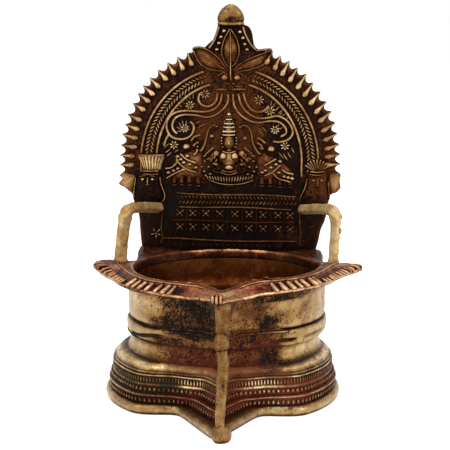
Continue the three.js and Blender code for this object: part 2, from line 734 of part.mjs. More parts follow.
function strutUpperBar() {
  const [wide, deep] = [STRUT_HEAD_HALF_WIDTH, STRUT_HEAD_HALF_DEPTH];
  const sections = [
    strutSection(STRUT_KNOB_TOP, STRUT_BAR_HALF_WIDTH, deep, ROUNDED_POWER),
    strutSection(flange.bottom - STRUT_HEAD_HEIGHT, wide, deep, ROUNDED_POWER),
    strutSection(flange.bottom, wide, deep, ROUNDED_POWER),
  ];
  return stack(sections, STRUT_SIDES);
}

// A square bar from the wing up to the elbow, then inwards and back to the plate, cut flat at both seats.
function bracket(side) {
  const footX = WING_ROOT_X + BRACKET_FOOT_INSET;
  const footY = WING_BACK_Y - BRACKET_BACK_MARGIN;
  const endX = PANEL_HALF_WIDTH + BRACKET_END_GAP;
  const endZ = flange.top + ARCH_CENTRE_HEIGHT - BRACKET_END_DROP;
  const elbowZ = endZ + BRACKET_ELBOW_RISE;
  const route = [
    [footX, footY + 1, flange.top - BRACKET_THICKNESS],
    [footX - 0.3, footY, flange.top + BRACKET_LOWER_RISE],
    [footX - 1, footY - 1, elbowZ - BRACKET_BEND],
    [footX - 2.6, footY + 3, elbowZ],
    [footX - BRACKET_ARM_INSET, footY + BRACKET_ARM_REACH, elbowZ - 2],
    [endX, PLATE_FRONT, endZ],
    [endX - 2, PLATE_FRONT + BRACKET_THICKNESS, endZ - 0.6],
  ];
  const curve = new THREE.CatmullRomCurve3(route.map(([x, y, z]) => new THREE.Vector3(side * x, y, z)));
  const half = BRACKET_THICKNESS / 2;
  const section = outlineShape([
    [-half, -half],
    [half, -half],
    [half, half],
    [-half, half],
  ]);
  const bar = new THREE.ExtrudeGeometry(section, { steps: 22, extrudePath: curve, bevelEnabled: false });
  const reach = 2 * (WING_TIP_X + flange.top + ARCH_CENTRE_HEIGHT);
  const behind = boxBetween([-reach, PLATE_FRONT - CLEARANCE, -reach], [reach, reach, reach]);
  const below = boxBetween([-reach, -reach, -reach], [reach, reach, flange.top + CLEARANCE]);
  return geometryOf(solid(bar).subtract(solid(behind)).subtract(solid(below)));
}

// The arch of the plate: straight stilts below its centre, half an ellipse above it

const CROWN_ANGLE = Math.acos(NECK_BOTTOM_HALF_WIDTH / ARCH_HALF_WIDTH);
const ARCH_LENGTH = ARCH_STILT + ((ARCH_HALF_WIDTH + ARCH_RISE) / 2) * CROWN_ANGLE;

// A point on the ellipse, one inset inside its edge. The angle is counted up from the right foot.
function archPoint(angle, inset) {
  return [(ARCH_HALF_WIDTH - inset) * Math.cos(angle), (ARCH_RISE - inset) * Math.sin(angle)];
}

// The point and the angle at a share of the way from the foot of the right stilt to the neck.
function alongArch(share, inset) {
  const climb = share * ARCH_LENGTH - ARCH_STILT;
  if (climb < 0) {
    return { turn: 0, point: [ARCH_HALF_WIDTH - inset, climb] };
  }
  const turn = (climb / (ARCH_LENGTH - ARCH_STILT)) * CROWN_ANGLE;
  return { turn, point: archPoint(turn, inset) };
}

// Route of a cord on the right side of the arch, from a foot height round to the gap under the crown.
function archRoute(inset, footZ, crownGap, steps) {
  const first = footZ > 0 ? Math.asin(footZ / (ARCH_RISE - inset)) : 0;
  const last = Math.acos(crownGap / (ARCH_HALF_WIDTH - inset));
  const route = footZ > 0 ? [] : [[ARCH_HALF_WIDTH - inset, footZ]];
  for (let i = 0; i <= steps; i += 1) {
    route.push(archPoint(first + ((last - first) * i) / steps, inset));
  }
  return route;
}

// Each tooth of the edge: share of its pitch, and share of its depth that is cut away there.
const TOOTH_PROFILE = [
  [0, 1],
  [0.24, 0.36],
  [0.5, 0],
  [0.76, 0.36],
];

function plateHalf() {
  const footZ = -ARCH_CENTRE_HEIGHT;
  const edge = [
    [PLATE_FOOT_HALF_WIDTH, footZ],
    [PLATE_FOOT_HALF_WIDTH + 1.2, footZ + 10],
    [PLATE_WAIST_HALF_WIDTH - 1, -PLATE_WAIST_DROP - 4],
    [PLATE_WAIST_HALF_WIDTH, -PLATE_WAIST_DROP],
  ];
  for (let i = 0; i < TEETH_PER_SIDE; i += 1) {
    for (const [share, depth] of TOOTH_PROFILE) {
      edge.push(alongArch((i + share) / TEETH_PER_SIDE, TOOTH_DEPTH * depth).point);
    }
  }
  const neckFoot = [NECK_BOTTOM_HALF_WIDTH, ARCH_RISE - NECK_SINK];
  const beside = ([x, z]) => x >= neckFoot[0] || z < neckFoot[1];
  return [...edge.filter(beside), neckFoot];
}

// A plate as thick as the backplate, whose right half outline is given from its foot to its top.
function standingPlate(half) {
  return slab([...half, ...sided(-1, half).reverse()], PLATE_THICKNESS, PLATE_BACK);
}

function finialNeck() {
  const HOLLOW = 0.8;
  const bottom = ARCH_RISE - NECK_SINK;
  return standingPlate([
    [NECK_BOTTOM_HALF_WIDTH, bottom],
    [(NECK_BOTTOM_HALF_WIDTH + NECK_TOP_HALF_WIDTH) / 2 - HOLLOW, bottom + NECK_HEIGHT / 2],
    [NECK_TOP_HALF_WIDTH, bottom + NECK_HEIGHT],
  ]);
}

function finialKnob() {
  const PROFILE = [
    [0, 0.72, 0.5],
    [0.14, 0.8, 0.75],
    [0.2, 0.7, 0.7],
    [0.34, 0.96, 0.95],
    [0.52, 1, 1],
    [0.75, 0.86, 0.86],
    [0.92, 0.55, 0.55],
    [1, 0.2, 0.2],
  ];
  const bottom = ARCH_RISE - NECK_SINK + NECK_HEIGHT;
  const sections = PROFILE.map(([share, width, depth]) => ({
    x: 0,
    y: (PLATE_FRONT + PLATE_BACK) / 2,
    z: bottom + share * KNOB_HEIGHT,
    rx: KNOB_HALF_WIDTH * width,
    ry: KNOB_HALF_DEPTH * depth,
  }));
  return stack(sections, 16);
}

// Flame drops: one behind each tooth, standing on a low strip that joins them
function flameDrops(side) {
  const STRIP_HALF_WIDTH = 1;
  const STRIP_HEIGHT = 0.6;
  const STRIP_MARGIN = 2.6;
  const STRIP_CROWN_GAP = 5;
  const route = archRoute(DROP_INSET, STRIP_MARGIN - ARCH_STILT, NECK_BOTTOM_HALF_WIDTH + STRIP_CROWN_GAP, 12);
  const drops = [ridge(sided(side, route), STRIP_HALF_WIDTH, STRIP_HEIGHT)];
  for (let i = 0; i + 1 < TEETH_PER_SIDE; i += 1) {
    const { turn, point } = alongArch((i + 0.5) / TEETH_PER_SIDE, DROP_INSET);
    const angle = side > 0 ? turn : Math.PI - turn;
    const swelling = [...point, DROP_HALF_LENGTH, DROP_HALF_WIDTH, DROP_HEIGHT];
    drops.push(sidedBoss(side, swelling, { angle, rings: 1, sides: 4 }));
  }
  return fused(drops);
}

function archCord(side, inset, footZ) {
  const route = archRoute(inset, footZ, CREST_HALF_WIDTH, 18);
  return thread(sided(side, route), CORD_HALF_WIDTH, CORD_HEIGHT);
}

// Braid between the two cords: one strand that swings from side to side as it climbs.
function archBraid(side) {
  const first = Math.asin(OUTER_CORD_FOOT / (ARCH_RISE - BRAID_INSET));
  const last = Math.acos(CREST_HALF_WIDTH / (ARCH_HALF_WIDTH - BRAID_INSET));
  const route = [];
  for (let i = 0; i <= BRAID_SWINGS; i += 1) {
    const swing = (i % 2 ? 1 : -1) * BRAID_HALF_WIDTH;
    route.push(archPoint(first + ((last - first) * i) / BRAID_SWINGS, BRAID_INSET + swing));
  }
  return ridge(sided(side, route), STRAND_HALF_WIDTH, CORD_HEIGHT);
}

// Crest, drawn from the top of the arch: three finial leaves and a lion's mask

// A leaf is a pointed oval between two ends, with a raised vein.
function leaf(from, to, halfWidth, thickness) {
  const SHARES = [0.18, 0.38, 0.6, 0.82];
  const [dx, dz] = [to[0] - from[0], to[1] - from[1]];
  const length = Math.hypot(dx, dz);
  const at = (share, across) => [
    from[0] + dx * share - (dz / length) * across,
    from[1] + dz * share + (dx / length) * across,
  ];
  const bulge = (share) => halfWidth * Math.sin(Math.PI * share ** 0.85);
  const right = SHARES.map((share) => at(share, -bulge(share)));
  const left = SHARES.map((share) => at(share, bulge(share))).reverse();
  const blade = slab([from, ...right, to, ...left], thickness);
  const vein = thread([at(0.1, 0), at(0.5, 0), at(0.9, 0)], LEAF_VEIN_HALF_WIDTH, thickness + LEAF_VEIN_RISE);
  return fused([blade, vein]);
}

function centreLeaf() {
  const tip = NECK_HEIGHT - NECK_SINK - CENTRE_LEAF_TIP_GAP;
  return leaf([0, -CENTRE_LEAF_DROP], [0, tip], CENTRE_LEAF_HALF_WIDTH, CENTRE_LEAF_THICKNESS);
}

const SIDE_LEAF = [[4, -10.8], [16.6, -4.6]];

function sideLeaf(side) {
  const [from, to] = sided(side, SIDE_LEAF);
  return leaf(from, to, SIDE_LEAF_HALF_WIDTH, LEAF_THICKNESS);
}

// Swellings are given as x, z, half length, half width and height above the plate; threads by x, z points.
const MASK_NOSE = [0, -0.6, 1.5, 2.2, 3.4];
const MASK_EYE = [3.2, 2.3, 1.6, 1.6, 3];
const MASK_BROW = [[1.6, 4.1], [3.8, 4.9], [6.2, 3.4]];
const MASK_LIP = [[0.6, -3.6], [3.6, -4.6], [6.8, -3]];

// The mask is drawn round its own middle, then hung under the top of the arch.
function lionMask() {
  const parts = [boss([0, 0, MASK_HALF_WIDTH, 4.9, 1.6], { sides: 12 }), boss(MASK_NOSE, { sides: 8 })];
  for (const side of [-1, 1]) {
    parts.push(sidedBoss(side, MASK_EYE));
    parts.push(ridge(along(sided(side, MASK_BROW), 3), 0.7, 2.4));
    parts.push(ridge(along(sided(side, MASK_LIP), 3), 0.8, 2.2));
  }
  return fused(parts).translate(0, 0, -MASK_DROP);
}

// Figures and vines, drawn round the centre of the arch for a field of this half width and rise

const DRAWN_HALF_WIDTH = 39.5;
const DRAWN_RISE = 42;

const OUTER_RUNNER = [
  [1.6, 35.3], [2.2, 30], [4.8, 25.8], [9, 22.6], [14.4, 21.4], [20.6, 22.4], [25.8, 22],
  [29.8, 19.2], [30.8, 15.6], [28.6, 12.8], [24.6, 12.4], [22, 15], [22.6, 17.8],
];
const MIDDLE_RUNNER = [[4.6, 34.6], [6, 30.4], [9.2, 27], [14, 25], [20.4, 25.6], [26, 25.8], [31.4, 22.6]];
const INNER_RUNNER = [[6.8, 35.6], [7.8, 31.8], [10.4, 29], [14, 28], [16.9, 29.8], [17.2, 33.2], [15, 35.2]];
const RUNNER_STEM = [[1.2, 34.9], [7.4, 34.9]];
const RUNNER_TIE = [[25.4, 21.4], [26, 26.2]];

// Scroll vines: three runners that leave the mask's mouth and curl back on themselves.
function scrollVines(side) {
  const runs = [
    [OUTER_RUNNER, 26],
    [MIDDLE_RUNNER, 10],
    [INNER_RUNNER, 12],
  ];
  const threads = runs.map(([points, steps]) => {
    return ridge(along(sided(side, points), steps), VINE_HALF_WIDTH, VINE_HEIGHT);
  });
  const stem = ridge(sided(side, RUNNER_STEM), 0.7, 0.8);
  const tie = ridge(sided(side, RUNNER_TIE), 0.6, 0.8);
  return fused([...threads, stem, tie]);
}

// A star flower: four pointed petals round a button.
const STARS = [
  [14, 32.6, 2],
  [21, 28.6, 1.6],
  [23.6, 8.4, 2.4],
];

function starFlower(side, [x, z, reach]) {
  const PETAL_WIDTH = 0.34;
  const BUTTON = 0.42;
  const LEAN = 0.4;
  const petal = [x, z, reach, reach * PETAL_WIDTH, 1.1];
  const leans = [LEAN, LEAN + Math.PI / 2];
  const petals = leans.map((angle) => sidedBoss(side, petal, { angle, rings: 1, sides: 4 }));
  return fused([...petals, sidedBoss(side, [x, z, reach * BUTTON, reach * BUTTON, 1.7])]);
}

// Seated figure with four hands
const FIGURE_HEAD = [0, 10.4, 3.3, 4.1, 3.4];
const FIGURE_THROAT = [0, 5.6, 1.7, 2, 2.2];
const FIGURE_CHEST = [0, 0.4, 4.6, 5.4, 2.6];
const FIGURE_BELLY = [0, -2.4, 2.6, 2.4, 3.6];
const FIGURE_BREAST = [2.4, 3.4, 1.9, 1.9, 3.8];
const FIGURE_EARRING = [3.9, 10, 0.9, 1.5, 2];
const FIGURE_RAISED_HAND = [9.6, 6.4, 1.3, 1.3, 2];
const FIGURE_RAISED_ARM = [[5.6, 4], [9.4, 6.2]];
const FIGURE_LOWER_ARM = [[3.4, 4.6], [6.6, 3.6], [8.9, 0.6], [6, -1.2]];
const FIGURE_LEG = [[7.4, -3.8], [4, -4.8], [-0.6, -5.2]];

function seatedFigure() {
  const parts = [
    boss(FIGURE_HEAD, { sides: 8, rings: 3 }),
    boss(FIGURE_THROAT),
    boss(FIGURE_CHEST, { sides: 8 }),
    boss(FIGURE_BELLY, { sides: 8 }),
  ];
  for (const side of [-1, 1]) {
    parts.push(sidedBoss(side, FIGURE_BREAST));
    parts.push(sidedBoss(side, FIGURE_EARRING));
    parts.push(sidedBoss(side, FIGURE_RAISED_HAND));
    parts.push(thread(along(sided(side, FIGURE_LOWER_ARM), 5), 1, 2.2));
    parts.push(thread(sided(side, FIGURE_RAISED_ARM), 0.8, 1.6));
    parts.push(thread(along(sided(side, FIGURE_LEG), 3), 1.2, 3));
  }
  return fused(parts);
}

// Tall crown: four tiers and a ball, each given as its height, half width and half height.
const CROWN_TIERS = [
  [15.9, 3.6, 1.4],
  [18.2, 3, 1.4],
  [20.4, 2.4, 1.4],
  [22.4, 1.8, 1.3],
  [24.8, 1.5, 1.7],
];

function tallCrown() {
  const tier = ([z, halfWidth, halfHeight]) => boss([0, z, halfWidth, halfHeight, 2.6], { sides: 8 });
  return fused(CROWN_TIERS.map(tier));
}

const LOTUS_HALF = [[8, -13.6], [12.4, -9.4], [9, -6.8]];
const LOTUS_PETALS = 9;
const LOTUS_SPREAD = 19;
const LOTUS_FAN = 1.9;

function lotusSeat() {
  const parts = [slab([...LOTUS_HALF, ...sided(-1, LOTUS_HALF).reverse()], 1)];
  for (let i = 0; i < LOTUS_PETALS; i += 1) {
    const share = i / (LOTUS_PETALS - 1) - 0.5;
    const petal = [share * LOTUS_SPREAD, -10.4 + Math.abs(share) * 2.4, 2.6, 1, 2.4];
    parts.push(boss(petal, { angle: Math.PI / 2 - share * LOTUS_FAN }));
  }
  return fused(parts);
}

// An elephant in side view: a trunk raised towards the crown, straps over its back, four legs
const ELEPHANT_BODY = [23.6, -5.4, 6.8, 6, 2.6];
const ELEPHANT_HEAD = [18.2, 1.8, 3.6, 3.6, 2.8];
const ELEPHANT_EAR = [20.2, 1.2, 1.7, 2.6, 3.3];
const ELEPHANT_TRUNK = [[17.2, 3], [14.6, 6], [13, 10.6], [11.8, 15.2], [9.8, 18.2], [7.2, 18.2]];
const ELEPHANT_LEGS = [17.2, 21.4, 26, 30];
const ELEPHANT_LEG_TOP = -5.6;
const ELEPHANT_LEG_FOOT = -13.1;
const ELEPHANT_STRAPS = [
  [[18.6, -2.4], [25.2, 0.4]],
  [[21, -8.4], [29.6, -3]],
  [[28.2, -9], [22, -0.4]],
];

function elephant(side) {
  const parts = [
    sidedBoss(side, ELEPHANT_BODY, { sides: 12, angle: side * -0.5 }),
    sidedBoss(side, ELEPHANT_HEAD, { sides: 10 }),
    sidedBoss(side, ELEPHANT_EAR, { sides: 8 }),
    thread(along(sided(side, ELEPHANT_TRUNK), 8), 0.8, 1.8),
  ];
  for (const x of ELEPHANT_LEGS) {
    parts.push(ridge(sided(side, [[x, ELEPHANT_LEG_TOP], [x, ELEPHANT_LEG_FOOT]]), 1.5, 2.2));
  }
  for (const strap of ELEPHANT_STRAPS) {
    parts.push(ridge(sided(side, strap), 0.6, 3.2));
  }
  return fused(parts);
}

// Heads of two guardians on the shoulders of the plate, drawn round an upright line through the head

const GUARDIAN_HEAD = [0, -11.6, 3.9, 5.2, 2.6];
const GUARDIAN_NOSE = [0, -11.4, 0.9, 2, 3.6];
const GUARDIAN_EYE = [2, -9.4, 1.1, 1.1, 3.2];
const GUARDIAN_MANTLE = [[3.4, -8.6], [4.3, -14], [4.2, -18.4], [3.6, -19]];
const GUARDIAN_BUST = [[4.6, -19], [4.2, -10]];
const GUARDIAN_CROWN_BAND = [[4.4, -5.8], [5.2, -3]];
const GUARDIAN_RAYS = 7;
const RAY_FOOT_SPREAD = 7.6;
const RAY_TOP_SPREAD = 10;
const RAY_FOOT_Z = -4.4;
const RAY_TOP_Z = 2.6;

function guardian(side) {
  const bust = slab([...GUARDIAN_BUST, ...sided(-1, GUARDIAN_BUST).reverse()], 0.6);
  const parts = [boss(GUARDIAN_HEAD, { sides: 10 }), boss(GUARDIAN_NOSE), bust];
  for (const half of [-1, 1]) {
    parts.push(sidedBoss(half, GUARDIAN_EYE));
    parts.push(ridge(along(sided(half, GUARDIAN_MANTLE), 4), 0.6, 1.4));
  }
  return fused(parts).translate(side * GUARDIAN_X, 0, 0);
}

function guardianCrown(side) {
  const parts = [slab([...GUARDIAN_CROWN_BAND, ...sided(-1, GUARDIAN_CROWN_BAND).reverse()], 1.6)];
  for (let i = 0; i < GUARDIAN_RAYS; i += 1) {
    const share = i / (GUARDIAN_RAYS - 1) - 0.5;
    const top = [share * RAY_TOP_SPREAD, RAY_TOP_Z - share * share * RAY_TOP_SPREAD];
    parts.push(ridge([[share * RAY_FOOT_SPREAD, RAY_FOOT_Z], top], 0.6, 1.9));
  }
  return fused(parts).translate(side * GUARDIAN_X, 0, 0);
}

// Lower panel: three rails, a herringbone border and a lattice of crosses

const topRailZ = -TOP_RAIL_DROP;
const middleRailZ = topRailZ - BORDER_HEIGHT;
const bottomRailZ = BOTTOM_RAIL_RISE - ARCH_CENTRE_HEIGHT;

function rail(z, halfWidth = PANEL_HALF_WIDTH) {
  return thread([[-halfWidth, z], [halfWidth, z]], RAIL_HALF_WIDTH, RAIL_HEIGHT);
}

function herringboneBorder() {
  const SIDE_MARGIN = 1;
  const LEAN = 1.6;
  const FIRST_PAIR = 0.3;
  const middle = (topRailZ + middleRailZ) / 2;
  const half = BORDER_HEIGHT / 2 - RAIL_HALF_WIDTH - CLEARANCE;
  const width = PANEL_HALF_WIDTH - SIDE_MARGIN;
  const parts = [ridge([[-width, middle], [width, middle]], half * 0.4, 0.8)];
  for (let i = 0; i < BORDER_PAIRS; i += 1) {
    const x = -width + (2 * width * (i + FIRST_PAIR)) / BORDER_PAIRS;
    for (const edge of [-1, 1]) {
      parts.push(ridge([[x, middle], [x + LEAN, middle + edge * half]], 0.55, 1.1));
    }
  }
  return fused(parts);
}

function crossLattice() {
  const SIDE_MARGIN = 0.6;
  const BAR_HALF_WIDTH = 0.6;
  const CROSS_SHARE = 0.4;
  const margin = RAIL_HALF_WIDTH + CLEARANCE + BAR_HALF_WIDTH;
  const top = middleRailZ - margin;
  const bottom = bottomRailZ + margin;
  const middle = (top + bottom) / 2;
  const width = PANEL_HALF_WIDTH - SIDE_MARGIN;
  const pitch = (2 * width) / LATTICE_COLUMNS;
  const parts = [ridge([[-width, middle], [width, middle]], 0.5, 0.8)];
  for (const z of [(middle + top) / 2, (middle + bottom) / 2]) {
    for (const first of [-1, 1]) {
      const zigzag = [];
      for (let i = 0; i <= LATTICE_COLUMNS; i += 1) {
        const rise = first * (i % 2 ? -1 : 1) * (top - middle) * CROSS_SHARE;
        zigzag.push([-width + i * pitch, z + rise]);
      }
      parts.push(ridge(zigzag, BAR_HALF_WIDTH, 1.2));
    }
  }
  return fused(parts);
}

// Assembly

const lamp = new THREE.Group();
const base = new THREE.Group();
const vessel = new THREE.Group();
const plate = new THREE.Group();
const field = new THREE.Group();
const crest = new THREE.Group();
base.position.x = BASE_SHIFT;
plate.position.set(PLATE_SHIFT, 0, flange.top + ARCH_CENTRE_HEIGHT);
field.scale.x = (ARCH_HALF_WIDTH - INNER_CORD_INSET) / DRAWN_HALF_WIDTH;
field.scale.z = (ARCH_RISE - INNER_CORD_INSET) / DRAWN_RISE;
crest.position.z = ARCH_RISE;
plate.add(field, crest);
lamp.add(base, vessel, plate);

function place(group, name, geometry, colour, roughness = 0.45) {
  const material = new THREE.MeshStandardMaterial({ color: colour, roughness, metalness: 0.9 });
  const mesh = new THREE.Mesh(geometry, material);
  mesh.name = name;
  group.add(mesh);
}

place(base, 'foot_ring', footRing(), WORN, 0.4);
place(base, 'foot_bead_band', beadBand(footBeads, FOOT_BEADS_RADIUS, FOOT_BEADS_TIP, FOOT_NOTCH), DARK);
place(base, 'plinth_step', plinthStep(), WORN);
place(base, 'plinth_bead_band', beadBand(plinthBeads, PLINTH_BEADS_RADIUS, PLINTH_BEADS_TIP, PLINTH_NOTCH), DARK);
place(base, 'plinth_moulding', plinthMoulding(), DULL);
place(vessel, 'lower_body', lowerBodyWall(), POLISHED, 0.3);
place(vessel, 'waist_band', waistBand(), POLISHED, 0.3);
place(vessel, 'upper_body', upperBodyWall(), POLISHED, 0.3);
place(vessel, 'oil_reservoir', oilReservoir(), DULL, 0.5);
place(vessel, 'rim_flange', rimFlange(), WORN, 0.5);
place(vessel, 'strut_foot', strutFoot(), WORN);
place(vessel, 'strut_lower_bar', strutLowerBar(), POLISHED);
place(vessel, 'strut_knob', strutKnob(), WORN);
place(vessel, 'strut_upper_bar', strutUpperBar(), DARK);
place(vessel, 'left_bracket', bracket(-1), POLISHED, 0.55);
place(vessel, 'right_bracket', bracket(1), POLISHED, 0.55);
place(plate, 'backplate', standingPlate(plateHalf()), DARK, 0.6);
place(plate, 'finial_neck', finialNeck(), DARK, 0.6);
place(plate, 'finial_knob', finialKnob(), WORN, 0.35);

for (const [word, side] of [['left', -1], ['right', 1]]) {
  place(plate, `${word}_flame_drops`, flameDrops(side), WORN);
  place(plate, `${word}_outer_cord`, archCord(side, OUTER_CORD_INSET, OUTER_CORD_FOOT), WORN);
  place(plate, `${word}_inner_cord`, archCord(side, INNER_CORD_INSET, INNER_CORD_FOOT), WORN);
  place(plate, `${word}_arch_braid`, archBraid(side), WORN);
  place(crest, `${word}_finial_leaf`, sideLeaf(side), WORN);
  place(field, `${word}_scroll_vines`, scrollVines(side), WORN);
  place(field, `${word}_elephant`, elephant(side), WORN);
  place(plate, `${word}_guardian`, guardian(side), WORN);
  place(plate, `${word}_guardian_crown`, guardianCrown(side), WORN);
  STARS.forEach((star, k) => {
    place(field, `${word}_star_flower_${k + 1}`, starFlower(side, star), WORN);
  });
}

place(crest, 'centre_finial_leaf', centreLeaf(), WORN);
place(crest, 'lion_mask', lionMask(), WORN);
place(field, 'seated_figure', seatedFigure(), WORN, 0.35);
place(field, 'tall_crown', tallCrown(), WORN, 0.35);
place(field, 'lotus_seat', lotusSeat(), WORN, 0.4);
place(plate, 'top_rail', rail(topRailZ), WORN);
place(plate, 'herringbone_border', herringboneBorder(), WORN);
place(plate, 'middle_rail', rail(middleRailZ), WORN);
place(plate, 'cross_lattice', crossLattice(), WORN);
place(plate, 'bottom_rail', rail(bottomRailZ, PANEL_HALF_WIDTH + BOTTOM_RAIL_OVERHANG), WORN);

// The lamp stands on the floor with its origin under the middle of its length.
const frontReach = STRUT_FOOT_Y - STRUT_BALL_RADIUS * Math.cos(Math.PI / STRUT_SIDES);
lamp.position.y = -(frontReach + Math.max(SHELF_BACK, FOOT_RADIUS)) / 2;

export default lamp;
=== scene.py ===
# %% [markdown]
# A cast brass oil lamp. It is a leaf shaped oil bowl on a moulded foot, with an arched plate of relief
# behind it, an arm on each side between bowl and plate, and a strut under the spout. The founder builds it
# in wax: the walls are sheet and turned rings, and the ornament is rolled thread, pellets and cut petals
# laid on the sheet. The same few shapes are made here with numpy: turned walls, swept cords, small
# swellings and domes. All sizes are millimetres.

import math

import bpy
import numpy as np
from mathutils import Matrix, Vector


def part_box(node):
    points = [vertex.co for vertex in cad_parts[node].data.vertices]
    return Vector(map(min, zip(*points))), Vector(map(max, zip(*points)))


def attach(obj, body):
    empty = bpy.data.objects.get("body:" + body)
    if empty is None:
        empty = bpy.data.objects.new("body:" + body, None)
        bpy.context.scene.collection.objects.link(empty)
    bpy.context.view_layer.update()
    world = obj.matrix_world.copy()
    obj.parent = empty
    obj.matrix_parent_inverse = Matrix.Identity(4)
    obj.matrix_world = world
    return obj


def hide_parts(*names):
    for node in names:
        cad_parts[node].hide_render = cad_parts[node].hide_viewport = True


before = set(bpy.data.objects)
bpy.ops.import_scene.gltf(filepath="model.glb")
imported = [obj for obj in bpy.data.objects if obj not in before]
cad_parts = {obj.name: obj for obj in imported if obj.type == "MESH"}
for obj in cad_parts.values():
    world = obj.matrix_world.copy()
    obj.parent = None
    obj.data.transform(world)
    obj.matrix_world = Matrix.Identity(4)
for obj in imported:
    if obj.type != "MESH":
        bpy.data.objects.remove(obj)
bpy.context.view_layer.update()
MM = 0.001
PLATE_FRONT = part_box("backplate")[0].y / MM
PLATE_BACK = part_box("backplate")[1].y / MM
FOOT_RADIUS = 58
AXIS_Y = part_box("foot_ring")[1].y / MM - FOOT_RADIUS  # the middle of the bowl and the foot
BASE_X = -2  # the foot stands a little to the left under the bowl
ARCH_X, ARCH_Z = -0.4, 109  # the centre of the arch
TAU = 2 * math.pi
print("frame", len(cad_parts), "nodes, plate front at y", round(PLATE_FRONT, 2), "axis at y",
    round(AXIS_Y, 2))

# %% [markdown]
# A shape here is three things: points, faces and a rub value. The rub value says how much hands and polishing
# cloths reach a point, and it also holds painted light: it is 1 on the crown of a thread or pellet, where a
# highlight is painted, and falls to 0 down its sides and in the ground beside it, where shade is painted. The
# finish reads it as an attribute, so that the metal is bright where it stands proud and keeps its dark patina
# in the recesses, as on the real casting.

# %% Shapes as arrays
def grid_faces(rows, columns, wrap_rows=False):
    """Four corners for each cell of a grid of points. Its last column joins the first, and its last row
    may."""
    r = np.arange(rows if wrap_rows else rows - 1)[:, None]
    c = np.arange(columns)[None, :]
    low, high = r * columns, (r + 1) % rows * columns
    left, right = c, (c + 1) % columns
    return np.stack([low + left, low + right, high + right, high + left], 2).reshape(-1, 4)


def outward(points, faces):
    """Faces of a closed shape turned to point out: six times its volume is the sum of a . (b x c) over its
    triangles."""
    six_volumes = 0
    for corners in faces:
        a = points[corners[:, 0]]
        for k in range(1, corners.shape[1] - 1):
            six_volumes += np.sum(a * np.cross(points[corners[:, k]], points[corners[:, k + 1]]))
    return faces if six_volumes > 0 else [corners[:, ::-1] for corners in faces]


def closed(points, faces, rub):
    """A closed shape with its faces turned out and its rub kept between 0 and 1."""
    return points, outward(points - points.mean(0), faces), np.clip(rub, 0, 1)


def joined(*shapes):
    """Several shapes as one: each one's corner numbers move on by the points that come before."""
    points, faces, rub, before = [], [], [], 0
    for p, f, r in shapes:
        points.append(p)
        faces.extend(corners + before for corners in f)
        rub.append(r)
        before += len(p)
    return np.vstack(points), faces, np.concatenate(rub)


print("a grid of 4 by 6 points has", len(grid_faces(4, 6)), "faces, and",
    len(grid_faces(4, 6, wrap_rows=True)), "as a ring")

# %% [markdown]
# Nothing on the lamp is quite straight: wax thread bends where a finger pushes it, and a wall leans a
# little. So lines are curves through a few chosen points, and a slow wobble moves surfaces by a tenth of a
# millimetre or two. Noise in the finish alone wouldn't show in the outline.

# %% Curves and unevenness
def ramp(low, high, value):
    """Rises smoothly from 0 at low to 1 at high: s s (3 - 2 s)."""
    s = np.clip((value - low) / (high - low), 0, 1)
    return s * s * (3 - 2 * s)


def curve_through(knots, spacing=0.6, count=None, closed_loop=False):
    """Catmull-Rom curve: between knots b and c it is half of 2b + (c-a)t + (2a-5b+4c-d)t^2 + (3b-a-3c+d)t^3,
    read off again at even distances along it."""
    k = np.asarray(knots, float)
    k = np.vstack([k[-1], k, k[:2]]) if closed_loop else np.vstack([2 * k[0] - k[1], k, 2 * k[-1] - k[-2]])
    a, b, c, d = (k[i:len(k) - 3 + i, None, :] for i in range(4))
    t = np.linspace(0, 1, 12, endpoint=False)[None, :, None]
    cubic = (2 * b + (c - a) * t + (2 * a - 5 * b + 4 * c - d) * t**2 + (3 * b - a - 3 * c + d) * t**3) / 2
    path = np.vstack([cubic.reshape(-1, k.shape[1]), k[-2]])
    far = np.concatenate([[0], np.cumsum(np.linalg.norm(np.diff(path, axis=0), axis=1))])
    even = np.linspace(0, far[-1], count or max(3, int(far[-1] / spacing) + 1))
    return np.stack([np.interp(even, far, path[:, i]) for i in range(k.shape[1])], 1)


def unit(vectors):
    """Each vector divided by its length."""
    return vectors / np.maximum(np.linalg.norm(vectors, axis=-1, keepdims=True), 1e-9)


def wobble(points, size, seed=0):
    """Slow unevenness of a hand made surface: a sum of three sine waves of about that size in mm, from -1 to
    1."""
    turn = np.random.default_rng(seed).uniform(0, TAU, 9)
    x, y, z = points[..., 0], points[..., 1], points[..., 2]
    first = np.sin((x + 0.6 * y) * TAU / size + turn[0]) * np.cos(z * TAU / size * 0.8 + turn[1])
    second = np.sin((y - 0.7 * z) * TAU / size * 1.3 + turn[2]) * np.cos(x * TAU / size * 1.1 + turn[3])
    third = np.sin((z + 0.5 * x - 0.4 * y) * TAU / size * 1.9 + turn[4])
    return (first + second + 0.6 * third) / 2.6


print("a curve round a corner has", len(curve_through([(0, 0), (10, 0), (10, 10)])), "points")
